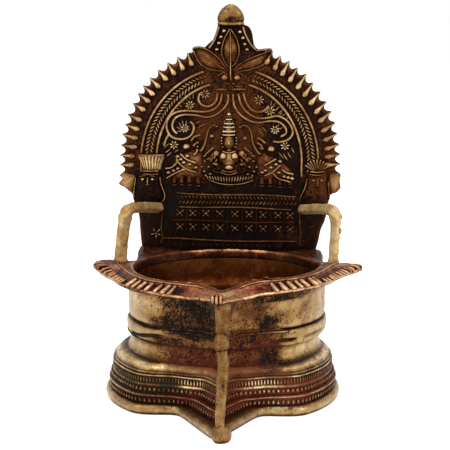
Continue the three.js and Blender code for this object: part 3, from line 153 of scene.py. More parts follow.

# %% [markdown]
# Rolled wax thread draws most of the relief. A curve object with a round bevel would do for the shape, but
# these threads are flatter where they lie on the sheet, end round, thin out, and carry rub and a painted
# highlight on their crowns, with painted shade down their sides.
# So the section is carried along the path as an array.

# %% Swept cords
def cord(path, half_width, rise, lift=(0, -1, 0), sink=None, sides=10, tapers=(1.0, 1.0), ends=1.0, rub=0.78):
    """Rolled wax thread along a path: with T its direction, L the lift and S = T x L, the skin is P + S w cos
    a + L h sin a, where h is rise above the path and sink below it. Both ends round off over ends mm."""
    path = np.asarray(path, float)
    lift = np.broadcast_to(np.asarray(lift, float), path.shape)
    tangent = unit(np.gradient(path, axis=0))
    side = unit(np.cross(tangent, lift))
    far = np.concatenate([[0], np.cumsum(np.linalg.norm(np.diff(path, axis=0), axis=1))])
    first = np.clip(far / ends, 0, 1) if ends else np.ones(len(far))
    last = np.clip((far[-1] - far) / ends, 0, 1) if ends else np.ones(len(far))
    size = np.sqrt(np.maximum(0.03, 1 - (1 - np.minimum(first, last)) ** 2))
    size = size * np.interp(far, [0, far[-1]], tapers)
    around = np.arange(sides) * TAU / sides
    wave_s, wave_l = np.cos(around), np.sin(around)
    high = np.broadcast_to(rise, len(path))[:, None]
    deep = high * 0.5 if sink is None else sink
    up = np.where(wave_l > 0, high, deep) * wave_l
    scale = size[:, None, None]
    width = np.broadcast_to(half_width, len(path))[:, None, None]
    sideways = side[:, None] * wave_s[None, :, None] * width * scale
    points = path[:, None] + sideways + lift[:, None] * up[..., None] * scale
    rows = len(path)
    caps = [np.arange(sides)[None, ::-1], np.arange(sides)[None] + (rows - 1) * sides]
    # Painted light: the crown that faces the lift gets a painted highlight with a narrow bright core, and the
    # sides get painted shade, on top of the rubbing.
    crown = np.clip(wave_l, 0, 1)
    value = rub * (0.12 + 0.5 * crown + 0.42 * crown**4) * np.minimum(1, 0.4 + 0.6 * size[:, None])
    return closed(points.reshape(-1, 3), [grid_faces(rows, sides), *caps], value.ravel())


print("10 mm of thread has", len(cord(curve_through([(0, 0, 0), (10, 0, 0)]), 0.6, 1.1)[0]), "points")

# %% [markdown]
# Pellets, petals, strokes, teeth and tear drops are all small swellings with a long axis. There are
# hundreds of them, so one call makes a whole row, with few faces on each.

# %% Small swellings
def swellings(centre, along, across, out, half_length, half_width, height, taper=0.0, rings=6, sides=8,
        sink=0.5, rub=1.0):
    """Many small swellings at once: C + A l t + r (S w cos a + O h sin a), with t = -cos(pi i / rings) and r
    = sin(pi i / rings) (1 - taper t). A taper of 0 gives an egg or ball, and 0.6 a petal or a tear drop."""
    centre = np.atleast_2d(np.asarray(centre, float))
    n = len(centre)
    along, across, out = (np.broadcast_to(np.asarray(v, float), (n, 3))[:, None]
        for v in (along, across, out))
    l, w, h, k = (np.broadcast_to(np.asarray(v, float), n)[:, None, None]
        for v in (half_length, half_width, height, taper))
    i = np.arange(1, rings)
    a = np.arange(sides) * TAU / sides
    t = np.repeat(-np.cos(np.pi * i / rings), sides)[None, :, None]
    r = np.repeat(np.sin(np.pi * i / rings), sides)[None, :, None] * (1 - k * t)
    wave_s = np.tile(np.cos(a), rings - 1)[None, :, None]
    wave_o = np.tile(np.sin(a), rings - 1)[None, :, None]
    up = np.where(wave_o > 0, wave_o, wave_o * sink)
    skin = centre[:, None] + along * l * t + r * (across * w * wave_s + out * h * up)
    poles = np.stack([centre - along[:, 0] * l[:, 0], centre + along[:, 0] * l[:, 0]], 1)
    each = (rings - 1) * sides + 2
    points = np.concatenate([skin, poles], 1).reshape(-1, 3)
    ring = np.arange(sides)
    turn = (ring + 1) % sides
    fan_low = np.stack([turn, ring, np.full(sides, each - 2)], 1)
    fan_high = np.stack([ring, turn, np.full(sides, each - 1)], 1) + np.array([1, 1, 0]) * (rings - 2) * sides
    quads = grid_faces(rings - 1, sides)
    one = [quads, fan_low, fan_high]
    first = outward(points[:each] - points[:each].mean(0), one)
    start = (np.arange(n) * each)[:, None, None]
    faces = [(corners[None] + start).reshape(-1, corners.shape[1]) for corners in first]
    # shade holds a painted highlight on the crown of each swelling and painted shade down its sides, on top
    # of the rubbing.
    crown = np.clip(np.sin(a), 0, 1)
    shade = 0.1 + 0.55 * crown + 0.4 * crown**4
    value = np.concatenate([np.tile(shade, rings - 1) * np.repeat(np.sin(np.pi * i / rings) ** 0.3, sides),
        [0.35, 0.35]])
    return points, faces, np.clip(np.tile(value, n) * rub, 0, 1)


print("one swelling has", len(swellings((0, 0, 0), (1, 0, 0), (0, 0, 1), (0, -1, 0), 1, 1, 1)[0]), "points")

# %% [markdown]
# The relief lies on the front of the plate, so its pieces are placed by x and z alone. A dome is a cut out
# piece of sheet wax pressed up from behind: the leaves, the bodies and the heads start from one.

# %% Pieces laid on the plate
DOME_ROWS, DOME_SINK = 7, 0.4


def on_plate(xz, proud=0.0):
    """Points of the plate's front face from their x and z, standing proud of it by so many mm."""
    xz = np.atleast_2d(np.asarray(xz, float))
    return np.column_stack([xz[:, 0], np.full(len(xz), PLATE_FRONT) - proud, xz[:, 1]])


def plate_cord(knots, half_width=0.6, rise=1.1, spacing=0.55, proud=0.0, **rest):
    """A thread laid on the plate through the given points."""
    return cord(on_plate(curve_through(knots, spacing), proud), half_width, rise, **rest)


def pellets(xz, radius, height=None, proud=0.0, **rest):
    """Wax pellets pressed on the plate."""
    centres = on_plate(xz, proud)
    return swellings(centres, (1, 0, 0), (0, 0, 1), (0, -1, 0), radius, radius,
        radius if height is None else height, **rest)


def petals(xz, angle, half_length, half_width, height, taper=0.0, proud=0.0, **rest):
    """Petals and strokes on the plate, each lying at its own angle in degrees from +X towards +Z."""
    centres = on_plate(xz, proud)
    a = np.radians(np.broadcast_to(np.asarray(angle, float), len(centres)))
    along = np.column_stack([np.cos(a), np.zeros_like(a), np.sin(a)])
    across = np.column_stack([-np.sin(a), np.zeros_like(a), np.cos(a)])
    return swellings(centres, along, across, (0, -1, 0), half_length, half_width, height, taper, **rest)


def dome(outline, height, fullness=2.2, rub=(0.25, 0.8)):
    """A cushion on the plate over a closed outline: from its middle M to the edge E(u) the skin is M + s (E -
    M), raised by height (1 - s^fullness), with a flat back just inside the plate."""
    edge = np.asarray(outline, float)
    middle = edge.mean(0)
    s = np.linspace(0, 1, DOME_ROWS + 1)[1:]
    xz = middle + s[:, None, None] * (edge - middle)[None]
    y = PLATE_FRONT - height * (1 - s**fullness)
    skin = np.stack([xz[..., 0], np.broadcast_to(y[:, None], xz.shape[:2]), xz[..., 1]], 2).reshape(-1, 3)
    back = np.column_stack([edge[:, 0], np.full(len(edge), PLATE_FRONT + DOME_SINK), edge[:, 1]])
    top = np.array([[middle[0], PLATE_FRONT - height, middle[1]]])
    n = len(edge)
    points = np.vstack([skin, back, top])
    ring = np.arange(n)
    fan = np.stack([ring, (ring + 1) % n, np.full(n, len(points) - 1)], 1)
    cap = (np.arange(n) + DOME_ROWS * n)[None]
    # The value rises from the dome's edge to its top: partly rubbing, partly a painted highlight on the
    # crown.
    value = np.concatenate([np.repeat(np.interp(s, [0, 1], rub[::-1]), n), np.zeros(n), [rub[1]]])
    faces = [fan, grid_faces(DOME_ROWS + 1, n), cap[:, ::-1]]
    return closed(points, faces, value)


print("a square dome has", len(dome([(0, 0), (9, 0), (9, 9), (0, 9)], 1)[0]), "points")

# %% [markdown]
# The finish is one metal in many states. Bare brass is pale straw where it is rubbed, and turns tan, red
# brown and black as its skin of oxide, soot and old oil thickens. One material function reads the rub value,
# which holds rubbing and painted light, and three slow fields that are worked out for each point from its
# place on the lamp: soot, red oxide and green.

# %% Fields of dirt
def patch_field(points, patches):
    """Soft spots on the front of the lamp: each patch (x, z, half width, half height, strength) adds strength
    exp(-(dx/w)^4 - (dz/h)^4)."""
    field = np.zeros(len(points))
    for x, z, w, h, strength in patches:
        field += strength * np.exp(-(((points[:, 0] - x) / w) ** 4) - ((points[:, 2] - z) / h) ** 4)
    return field


# A patch is x, z, half width and half height in mm, and a strength, which wipes dirt off where it is below 0.
SOOT_ON_BODY = [
    (-16, 51.5, 14, 8, 0.9), (-22, 54, 9, 3, 0.3), (-13, 42, 13, 5, 0.95), (-26, 43, 9, 3, 0.8),
    (-26, 34.5, 9, 2.5, 0.75), (-9, 33, 9, 6, 0.55), (-42, 57.5, 9, 2.5, 0.85), (-22, 26, 13, 3, 0.4),
    (11, 51, 11, 8, 0.5), (22, 50, 6, 6, 0.3), (20, 43.5, 5.5, 3.5, 0.75), (26, 56.5, 11, 2.2, 0.95),
    (38, 49, 3, 8, 0.4), (10, 37.5, 13, 3, 0.6), (26, 37, 5, 2.5, 0.5), (22, 27, 6, 7, 0.7),
    (10, 28, 9, 8, 0.4), (34, 24.5, 10, 1.6, 0.75), (-32, 10, 22, 8, 0.42), (42, 57.5, 9, 2.5, 0.45),
    (29, 47, 6, 3, 0.4), (-36, 47, 5, 4, 0.3), (-14, 16, 7, 2.2, -0.8), (17, 16, 8, 2.2, -0.8),
    (34, 7, 14, 5, -0.4),
]
RED_ON_BODY = [
    (-14, 28, 19, 6, 0.85), (-20, 36, 12, 3, 0.5), (14, 28, 15, 9, 0.9), (12, 37, 12, 5, 0.8),
    (20, 12, 18, 11, 0.6), (44, 11, 16, 8, 0.7), (-8, 12, 14, 12, 0.55), (6, 50, 9, 10, 0.45),
    (9, 14, 14, 14, 0.3), (-30, 12, 18, 9, 0.35), (-8, 48, 7, 9, 0.4), (-14, 16, 7, 2.2, -0.5),
    (17, 16, 8, 2.2, -0.5), (-52, 78, 4, 4, 1.0),
]
GREEN_ON_BODY = [
    (-10, 53, 9, 5, 0.75), (24, 56, 8, 3, 0.65), (27, 46, 5, 5, 0.5), (-38, 13, 16, 7, 0.55),
    (-36, 55, 6, 3, 0.4), (-22, 14, 10, 5, 0.45), (-18, 45, 6, 3, 0.45),
]
RED_ON_PLATE = [
    (0, 128, 18, 22, 0.8), (0, 158, 22, 8, 0.5), (54, 130, 9, 40, 0.5), (-54, 130, 9, 40, 0.5),
    (0, 120, 60, 60, 0.25), (46, 96, 8, 12, 0.5), (-42, 96, 8, 8, 0.5), (-23, 101, 9, 6, 0.25),
    (24, 101, 9, 6, 0.25), (34, 70, 12, 7, 0.4),
]
GREEN_ON_PLATE = [
    (-38, 82, 12, 14, 0.6), (38, 84, 10, 12, 0.3), (-32, 92, 7, 9, 0.6), (-22, 138, 8, 6, 0.35),
    (27, 136, 6, 6, 0.35),
]
FAR_SIDE = [(0.32, 0.3, 37, 5), (0.35, 0.35, 45, 8), (0.2, 0.3, 29, 9)]  # mean, swing, size in mm, seed
# Hands and cloths rub these places bright. The numbers are as for a patch.
WORN_SPOTS = [(22, 12, 15, 9, 0.26), (-13, 11, 9, 9, 0.12), (40, 30, 12, 4, 0.1), (-40, 48, 8, 6, 0.1)]
FRONT_ENDS, BACK_STARTS = AXIS_Y - 12, AXIS_Y + 18
LEAST_DIRT, MOST_ON_PLATE, MOST_ON_BODY = -0.8, 0.76, 0.83


def dirt(points):
    """The three fields on a piece, by where it is: patches on the plate and on the front of the vessel, and
    slow waves round its far side."""
    on_relief = points[:, 1] > PLATE_FRONT - 6
    front = 1 - ramp(FRONT_ENDS, BACK_STARTS, points[:, 1])
    # On the plate the soot field only darkens the lower panel, most between z 66 and 90.
    lower_panel_darkening = 0.4 * ramp(98, 90, points[:, 2]) * ramp(60, 66, points[:, 2])
    behind = [mean + swing * wobble(points, size, seed) for mean, swing, size, seed in FAR_SIDE]
    soot, red, green = (patch_field(points, patches) * front + far_side * (1 - front)
        for patches, far_side in zip((SOOT_ON_BODY, RED_ON_BODY, GREEN_ON_BODY), behind))
    soot = np.where(on_relief, lower_panel_darkening, soot)
    red = np.where(on_relief, patch_field(points, RED_ON_PLATE), red)
    green = np.where(on_relief, patch_field(points, GREEN_ON_PLATE), green)
    most = np.where(on_relief, MOST_ON_PLATE, MOST_ON_BODY)
    return tuple(np.clip(field, LEAST_DIRT, most) for field in (soot, red, green))


front_of_foot = np.array([[0.0, AXIS_Y - FOOT_RADIUS, 3.0]])
fields_there = [round(float(field[0]), 2) for field in dirt(front_of_foot)]
print("soot, red and green on the front of the foot", fields_there)

# %% [markdown]
# Each shape becomes one mesh. foreach_set fills it from whole arrays, and rub and the three fields go along
# as attributes of its points. The piece then takes the place of the CAD node that it dresses.

# %% From arrays to pieces
def lay(name, shape, finish, node, sharp=50, clean=0.0):
    """Puts a shape into a mesh, gives it its finish and fastens it to the lamp in place of its CAD node.
    clean is the share of dirt that stays off it, and edges sharper than sharp degrees stay crisp."""
    points, faces, rub = shape
    mesh = bpy.data.meshes.new(name)
    corners = np.concatenate([f.ravel() for f in faces]).astype(np.int32)
    sizes = np.concatenate([np.full(len(f), f.shape[1]) for f in faces])
    starts = np.concatenate([[0], np.cumsum(sizes)[:-1]]).astype(np.int32)
    mesh.vertices.add(len(points))
    mesh.vertices.foreach_set("co", (points * MM).astype(np.float32).ravel())
    mesh.loops.add(len(corners))
    mesh.loops.foreach_set("vertex_index", corners)
    mesh.polygons.add(len(sizes))
    mesh.polygons.foreach_set("loop_start", starts)
    mesh.update(calc_edges=True)
    mesh.validate()
    fields = [field * (1 - clean) for field in dirt(points)]
    rub = rub + patch_field(points, WORN_SPOTS) * (points[:, 1] < AXIS_Y)
    for key, values in zip(("rub", "soot", "red", "green"), (rub, *fields)):
        mesh.attributes.new(key, "FLOAT", "POINT").data.foreach_set("value", np.asarray(values, np.float32))
    mesh.shade_smooth()
    mesh.set_sharp_from_angle(angle=math.radians(sharp))
    mesh.materials.append(finish)
    piece = bpy.data.objects.new(name, mesh)
    bpy.context.scene.collection.objects.link(piece)
    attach(piece, "root")
    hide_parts(node)
    print(name, len(points), "points", len(sizes), "faces")

# %% [markdown]
# Colours are written as sRGB hex, as they'd be picked from a paint card. The shader works in linear light,
# so one function turns them. Another adds a node with its settings and its links.

# %% Colours and nodes
def linear(colour):
    """A colour written as sRGB hex, as linear light for the shader."""
    channels = np.array([int(colour[i:i + 2], 16) for i in (1, 3, 5)]) / 255
    light = np.where(channels <= 0.04045, channels / 12.92, ((channels + 0.055) / 1.055) ** 2.4)
    return (*light, 1.0)


def add(tree, kind, links=None, **settings):
    """Adds one node. links gives its inputs, each a value or another node's output; a setting named ramp
    gives the stops of a colour ramp, and the others are the node's own fields."""
    node = tree.nodes.new(kind)
    stops = settings.pop("ramp", None)
    for key, value in settings.items():
        setattr(node, key, value)
    for k, (place, colour) in enumerate(stops or ()):
        stop = node.color_ramp.elements[k] if k < 2 else node.color_ramp.elements.new(place)
        stop.position, stop.color = place, colour if isinstance(colour, tuple) else linear(colour)
    for key, value in (links or {}).items():
        if isinstance(value, bpy.types.NodeSocket):
            tree.links.new(value, node.inputs[key])
        else:
            node.inputs[key].default_value = value
    return node


print("straw brass in linear light", [round(float(c), 3) for c in linear("#CBB080")])

# %% [markdown]
# Old brass isn't painted: its colour comes from how much skin of oxide lies on the metal. So the material
# first works out a level for each point, from its rub value, which holds real rubbing together with painted
# highlights and painted shade, from how deep it lies between its neighbours and from noise in sizes that a
# cast skin has, and a colour ramp turns that level into colour. Thick spots of oxide and soot then cover it,
# with ragged edges. Rough dark skin reflects little, and rubbed metal reflects like metal, so roughness and
# metallic follow that level too. The real grain is about 0.2 mm, too fine to show in the picture, so it is
# drawn about four times as coarse.

# %% Aged brass
GRAIN_MM = 0.9
BLOTCH_MM = 6
PIT_MM = 2.2
RECESS_MM = 2.5
CLOUD_MM = 5.5
BUMP_MM = 0.25
FILM = "#6E4424"
SOOT_DULLS, RED_DULLS = -0.34, -0.2
PIT_DEPTH, METAL_FROM, SHEEN = -1.6, 0.4, 0.2
PIT_FROM, PIT_TO = 0.61, 0.66
CLOUD_WEIGHT, GRIT_WEIGHT = 2.2, 1.9
HALO_FROM, HALO_TO = 1.2, 1.75
SPOT_FROM, SPOT_TO = 1.62, 1.96
CLOUD_SHIFTS = (11.0, 23.0, 37.0)


def aged_brass(name, stops, roughness=(0.6, 0.34), lift=0.0, mottle=0.8, grain=0.3, soot="#17140B",
        red="#4A1D12", green="#1C2415", reach=(0.9, 0.8, 0.85), pits=0.35, bump=0.5, recess=0.6,
        metallic=(0.75, 1.0), haze=0.15):
    """Cast brass with its skin of age. Its level is the rub value + lift, where the rub value holds rubbing
    with painted highlights and shade, less where the metal lies in a recess, mottled by two noises, and stops
    turn it into colour from deep recess to bare metal. The fields red, green and soot then cover it where
    each beats a noise of its own, with a thin brown film round every spot."""
    material = bpy.data.materials.new(name)
    material.use_nodes = True
    tree = material.node_tree
    tree.nodes.clear()
    place = add(tree, "ShaderNodeTexCoord").outputs["Object"]
    fields = {key: add(tree, "ShaderNodeAttribute", attribute_name=key).outputs["Fac"]
        for key in ("rub", "soot", "red", "green")}
    blotch = add(tree, "ShaderNodeTexNoise", {"Vector": place, "Scale": 1 / (BLOTCH_MM * MM), "Detail": 7.0,
        "Roughness": 0.68})
    grit = add(tree, "ShaderNodeTexNoise", {"Vector": place, "Scale": 1 / (GRAIN_MM * MM), "Detail": 4.0,
        "Roughness": 0.6})
    speck = add(tree, "ShaderNodeTexNoise", {"Vector": place, "Scale": 1 / (PIT_MM * MM), "Detail": 5.0,
        "Roughness": 0.7})
    open_sky = add(tree, "ShaderNodeAmbientOcclusion", {"Distance": RECESS_MM * MM}, samples=6)
    hidden = add(tree, "ShaderNodeMath", {0: open_sky.outputs["AO"], 1: 1.0}, operation="SUBTRACT")
    slow = add(tree, "ShaderNodeMath", {0: blotch.outputs["Fac"], 1: 0.5}, operation="SUBTRACT")
    fine = add(tree, "ShaderNodeMath", {0: grit.outputs["Fac"], 1: 0.5}, operation="SUBTRACT")
    wear_and_painted_light = add(tree, "ShaderNodeMath", {0: fields["rub"], 1: lift}, operation="ADD")
    wear_and_painted_light = add(tree, "ShaderNodeMath", {0: fields["soot"], 1: SOOT_DULLS, 2: wear_and_painted_light.outputs[0]},
        operation="MULTIPLY_ADD")
    wear_and_painted_light = add(tree, "ShaderNodeMath", {0: fields["red"], 1: RED_DULLS, 2: wear_and_painted_light.outputs[0]},
        operation="MULTIPLY_ADD")
    wear_and_painted_light = add(tree, "ShaderNodeMath", {0: slow.outputs[0], 1: mottle, 2: wear_and_painted_light.outputs[0]},
        operation="MULTIPLY_ADD")
    wear_and_painted_light = add(tree, "ShaderNodeMath", {0: fine.outputs[0], 1: grain, 2: wear_and_painted_light.outputs[0]},
        operation="MULTIPLY_ADD")
    wear_and_painted_light = add(tree, "ShaderNodeMath", {0: hidden.outputs[0], 1: recess, 2: wear_and_painted_light.outputs[0]},
        operation="MULTIPLY_ADD")
    pit = add(tree, "ShaderNodeMapRange", {"Value": speck.outputs["Fac"], "From Min": PIT_FROM,
        "From Max": PIT_TO, "To Max": pits})
    wear_and_painted_light = add(tree, "ShaderNodeMath", {0: wear_and_painted_light.outputs[0], 1: pit.outputs["Result"]}, operation="SUBTRACT",
        use_clamp=True)
    colour = add(tree, "ShaderNodeValToRGB", {"Fac": wear_and_painted_light.outputs[0]}, ramp=stops).outputs["Color"]
    cover, spots = None, []
    for key, hue, most, offset in zip(("red", "green", "soot"), (red, green, soot), reach, CLOUD_SHIFTS):
        moved = add(tree, "ShaderNodeMapping", {"Vector": place, "Location": (offset * MM, 0, offset * MM)})
        cloud = add(tree, "ShaderNodeTexNoise",
                    {"Vector": moved.outputs[0], "Scale": 1 / (CLOUD_MM * MM), "Detail": 9.0,
                        "Roughness": 0.78})
        edge = add(tree, "ShaderNodeMath", {0: cloud.outputs["Fac"], 1: CLOUD_WEIGHT, 2: fields[key]},
            operation="MULTIPLY_ADD")
        edge = add(tree, "ShaderNodeMath", {0: fine.outputs[0], 1: GRIT_WEIGHT, 2: edge.outputs[0]},
            operation="MULTIPLY_ADD")
        halo = add(tree, "ShaderNodeMapRange", {"Value": edge.outputs[0], "From Min": HALO_FROM,
            "From Max": HALO_TO, "To Max": haze})
        tint = add(tree, "ShaderNodeMix", {"Factor": halo.outputs["Result"], 6: colour, 7: linear(FILM)},
            data_type="RGBA")
        colour = tint.outputs[2]
        spots.append((edge, hue, most))
    for edge, hue, most in spots:
        mask = add(tree, "ShaderNodeMapRange", {"Value": edge.outputs[0], "From Min": SPOT_FROM,
            "From Max": SPOT_TO, "To Max": most})
        tint = add(tree, "ShaderNodeMix", {"Factor": mask.outputs["Result"], 6: colour, 7: linear(hue)},
            data_type="RGBA")
        colour = tint.outputs[2]
        cover = mask if cover is None else add(
            tree, "ShaderNodeMath", {0: cover.outputs[0], 1: mask.outputs[0]}, operation="MAXIMUM")
    bare = add(tree, "ShaderNodeMath", {0: wear_and_painted_light.outputs[0], 1: cover.outputs[0]}, operation="SUBTRACT",
        use_clamp=True)
    rough = add(tree, "ShaderNodeMapRange", {"Value": bare.outputs[0], "To Min": roughness[0],
        "To Max": roughness[1]})
    metal = add(tree, "ShaderNodeMapRange", {"Value": bare.outputs[0], "From Max": METAL_FROM,
        "To Min": metallic[0], "To Max": metallic[1]})
    height = add(tree, "ShaderNodeMath", {0: pit.outputs["Result"], 1: PIT_DEPTH, 2: grit.outputs["Fac"]},
        operation="MULTIPLY_ADD")
    dents = add(tree, "ShaderNodeBump", {"Height": height.outputs[0], "Strength": bump,
        "Distance": BUMP_MM * MM})
    skin = add(tree, "ShaderNodeBsdfPrincipled", {
        "Base Color": colour, "Roughness": rough.outputs["Result"], "Metallic": metal.outputs["Result"],
        "Specular IOR Level": SHEEN, "Normal": dents.outputs["Normal"],
    })
    add(tree, "ShaderNodeOutputMaterial", {"Surface": skin.outputs["BSDF"]})
    return material


print("grain", GRAIN_MM, "mm, blotches", BLOTCH_MM, "mm, pits", PIT_MM, "mm, clouds", CLOUD_MM, "mm")

# %% [markdown]
# Six finishes of the same brass, by how the lamp is used. The relief is never scoured, so its ground stays
# dark and only its crowns are bright, from rubbing and from a painted highlight. The body is rubbed with a
# cloth and shines. The oil cup is stained brown by old oil. The bead rows keep dirt between the beads. The
# rim and the line on the plinth have a skin of red oxide. The arms are where the lamp is held, and they are
# pale and rather matt.

# %% Finishes
# Reads as a dark ground with bright drawing on it.
RELIEF = aged_brass(
    "cast_brass_relief_with_dark_ground",
    [(0.0, "#0B0403"), (0.2, "#2A120A"), (0.4, "#563018"), (0.6, "#8C6438"), (0.8, "#B39366"),
        (1.0, "#E0CA9E")],
    mottle=0.8, grain=0.45, soot="#0B0705", red="#6A3814", green="#0E1511", reach=(0.6, 0.8, 0.9),
    pits=0.2, bump=0.4, recess=0.6, haze=0.05)
# Gives broad soft highlights between dark stains.
POLISHED = aged_brass(
    "hand_polished_cast_brass",
    [(0.0, "#120905"), (0.2, "#3A2212"), (0.4, "#71502A"), (0.6, "#957649"), (0.8, "#AE9160"),
        (1.0, "#CBB080")],
    lift=-0.19, mottle=1.1, grain=0.6, soot="#0F0B06", red="#46140A", green="#1A2216",
    reach=(0.9, 0.95, 0.97), roughness=(0.55, 0.3), pits=0.7, bump=0.5, recess=0.9, haze=0.5)
# A warm brown well that looks wet where the oil stood.
OILED = aged_brass(
    "oil_stained_brass",
    [(0.0, "#120402"), (0.3, "#300F06"), (0.55, "#58290E"), (0.8, "#8A552A"), (1.0, "#BC9460")],
    lift=-0.1, mottle=0.9, grain=0.4, pits=0.2, soot="#120604", red="#38120A", bump=0.3, recess=0.5)
# Each pellet glints over a dark groove.
BEADED = aged_brass(
    "dark_patina_brass",
    [(0.0, "#0C0806"), (0.3, "#382416"), (0.55, "#6E5030"), (0.8, "#A88A58"), (1.0, "#DAC294")],
    mottle=1.1, grain=0.7, lift=0.06, soot="#15130C", red="#743824", reach=(0.75, 0.8, 0.75), pits=0.3,
    bump=0.5)
# A reddish skin that sets the rim off from the yellow body.
MAROON = aged_brass(
    "red_oxide_brass",
    [(0.0, "#160706"), (0.22, "#4A1A0E"), (0.45, "#8E4C30"), (0.7, "#B4875C"), (1.0, "#E4CCA2")],
    lift=-0.05, mottle=1.25, grain=0.8, red="#70301A", reach=(0.6, 0.9, 0.8), pits=0.4, bump=0.6, recess=0.8)
# A dull, light tone, as of metal that is handled and wiped.
PALE = aged_brass(
    "pale_handled_brass",
    [(0.0, "#2A140C"), (0.25, "#743A22"), (0.45, "#94683A"), (0.65, "#B48A54"), (0.85, "#CCA970"),
        (1.0, "#E2C692")],
    lift=-0.06, mottle=1.3, grain=0.7, soot="#1A100A", pits=0.6, bump=0.6, recess=0.5, roughness=(0.7, 0.5),
    metallic=(0.3, 0.5))
print("finishes", [m.name for m in (RELIEF, POLISHED, OILED, BEADED, MAROON, PALE)])

# %% [markdown]
# The vessel is turned, but not round: its plan is a circle that is drawn in on both cheeks and runs forward
# into a prow with straight sides. Every ring from foot to rim has that plan with its own radius, reach and
# cheek, so one function of turn and height gives all of them.

# %% Vessel plan
PROW_HALF_ANGLE = math.radians(28.3)
PROW_LIMIT = math.radians(60)
NOTCH_START, NOTCH_END = math.radians(24), math.radians(47)
PROW_BLEND, TIP_ROUND = 2.2, 0.02
WALL_WAVE_MM, GROOVE_DULLS = 31, 0.55
TURN_STEPS, FINE_STEPS = 600, 4000
TURNS = np.linspace(0, TAU, TURN_STEPS, endpoint=False)


def plan_radius(turn, radius, tip, notch, half_angle=PROW_HALF_ANGLE):
    """Distance from the axis at a turn from the front: the rounded greater of the lobe radius - notch (1 -
    ramp) and the prow's straight side tip sin(h) / sin(h + turn)."""
    away = np.minimum(turn, TAU - turn)
    lobe = radius - notch * (1 - ramp(NOTCH_START, NOTCH_END, away))
    rounded = np.sqrt(away**2 + TIP_ROUND**2)
    prow = tip * np.sin(half_angle) / np.sin(half_angle + np.minimum(rounded, PROW_LIMIT))
    prow = np.where(away < PROW_LIMIT, prow, 0)
    return (lobe + prow + np.sqrt((lobe - prow) ** 2 + PROW_BLEND**2)) / 2 - PROW_BLEND * 0.15


def turned(levels, x=0.0, *, rub, wrap=True, swell=None, uneven=0.12, seed=0, half_angle=PROW_HALF_ANGLE):
    """A wall round the vessel's axis: at each height z and turn the point lies at (r sin turn, -r cos turn,
    z), with r from plan_radius. levels are rows of height, radius, tip and notch. wrap closes the section,
    and otherwise it runs from the axis to the axis and gets a point at each end. swell(turn, z) moves the
    wall in or out, and its hollows lose rub."""
    rows = np.asarray(levels, float)
    z, radius, tip, notch = (rows[:, i, None] for i in range(4))
    reach = plan_radius(TURNS[None], radius, tip, notch, half_angle=half_angle)
    reach = np.where(radius < 1, radius, reach)
    if swell is not None:
        reach = reach + swell(TURNS[None], z)
    points = np.stack([reach * np.sin(TURNS), -reach * np.cos(TURNS), np.broadcast_to(z, reach.shape)], 2)
    out = np.stack([np.sin(TURNS), -np.cos(TURNS), np.zeros_like(TURNS)], 1)[None]
    points = points + out * (wobble(points, WALL_WAVE_MM, seed) * uneven)[..., None]
    points = points.reshape(-1, 3) + np.array([x, AXIS_Y, 0])
    each_row = np.interp(np.linspace(0, 1, len(rows)), np.linspace(0, 1, len(rub)), rub)
    value = np.repeat(each_row, len(TURNS))
    if swell is not None:
        value = value + GROOVE_DULLS * np.minimum(0, swell(TURNS[None], z) * np.ones((len(rows), 1))).ravel()
    n = len(TURNS)
    if wrap:
        return closed(points, [grid_faces(len(rows), n, wrap_rows=True)], value)
    ring = np.arange(n)
    poles = np.array([[x, AXIS_Y, rows[0, 0]], [x, AXIS_Y, rows[-1, 0]]])
    end = (len(rows) - 1) * n
    fans = [
        np.stack([(ring + 1) % n, ring, np.full(n, len(points))], 1),
        np.stack([ring + end, (ring + 1) % n + end, np.full(n, len(points) + 1)], 1),
    ]
    return closed(np.vstack([points, poles]), [grid_faces(len(rows), n), *fans],
        np.append(value, [value[0], value[-1]]))


def round_the_vessel(z, radius, tip, notch, pitch):
    """Places at an even pitch along the plan at one height, with their directions along the ring and
    outwards."""
    fine = np.linspace(0, TAU, FINE_STEPS)
    reach = plan_radius(fine, radius, tip, notch)
    path = np.column_stack([reach * np.sin(fine), -reach * np.cos(fine)])
    far = np.concatenate([[0], np.cumsum(np.linalg.norm(np.diff(path, axis=0), axis=1))])
    count = int(far[-1] / pitch)
    even = (np.arange(count) + 0.5) * far[-1] / count
    xy = np.column_stack([np.interp(even, far, path[:, i]) for i in range(2)])
    ahead = np.column_stack([np.interp((even + 0.4) % far[-1], far, path[:, i]) for i in range(2)])
    along = unit(np.column_stack([ahead - xy, np.zeros(count)]))
    out = np.cross(along, (0, 0, 1))
    centre = np.column_stack([xy[:, 0] + BASE_X, xy[:, 1] + AXIS_Y, np.full(count, z)])
    return centre, along, out


front_reach, cheek_reach = (float(plan_radius(np.array(turn), FOOT_RADIUS, 79, 10)) for turn in (0.0, 0.5))
print("plan of the foot: front", round(front_reach, 1), "cheek", round(cheek_reach, 1))

# %% [markdown]
# The foot is a thick rolled rim that carries the strut's ball in front. Above it are two rows of pellets
# with a thin raised line between them, and a swelling plinth with a row of fine upright teeth under its
# shoulder.

# %% Foot
# The rub value of each row is partly rubbing and partly painted light: the crowns of the mouldings are
# painted bright and the rows under and between them painted dark. So it is for every turned wall below.
foot = turned([
    (0, 56.2, 79.6, 10), (0.5, 57.4, 81.4, 10), (2.4, 58, 82.3, 10), (4.2, 57.5, 81.4, 10),
    (5, 56.4, 79.4, 10), (5.3, 54.4, 73.5, 10), (5.1, 52.6, 65, 10), (0.6, 52.6, 65, 10), (0, 54, 72, 10),
], BASE_X, rub=[0.5, 0.8, 1, 0.98, 0.85, 0.45, 0, 0, 0.1], uneven=0.05, seed=3, half_angle=math.radians(26))
lay("foot_rim", foot, POLISHED, "foot_ring", clean=0.2)

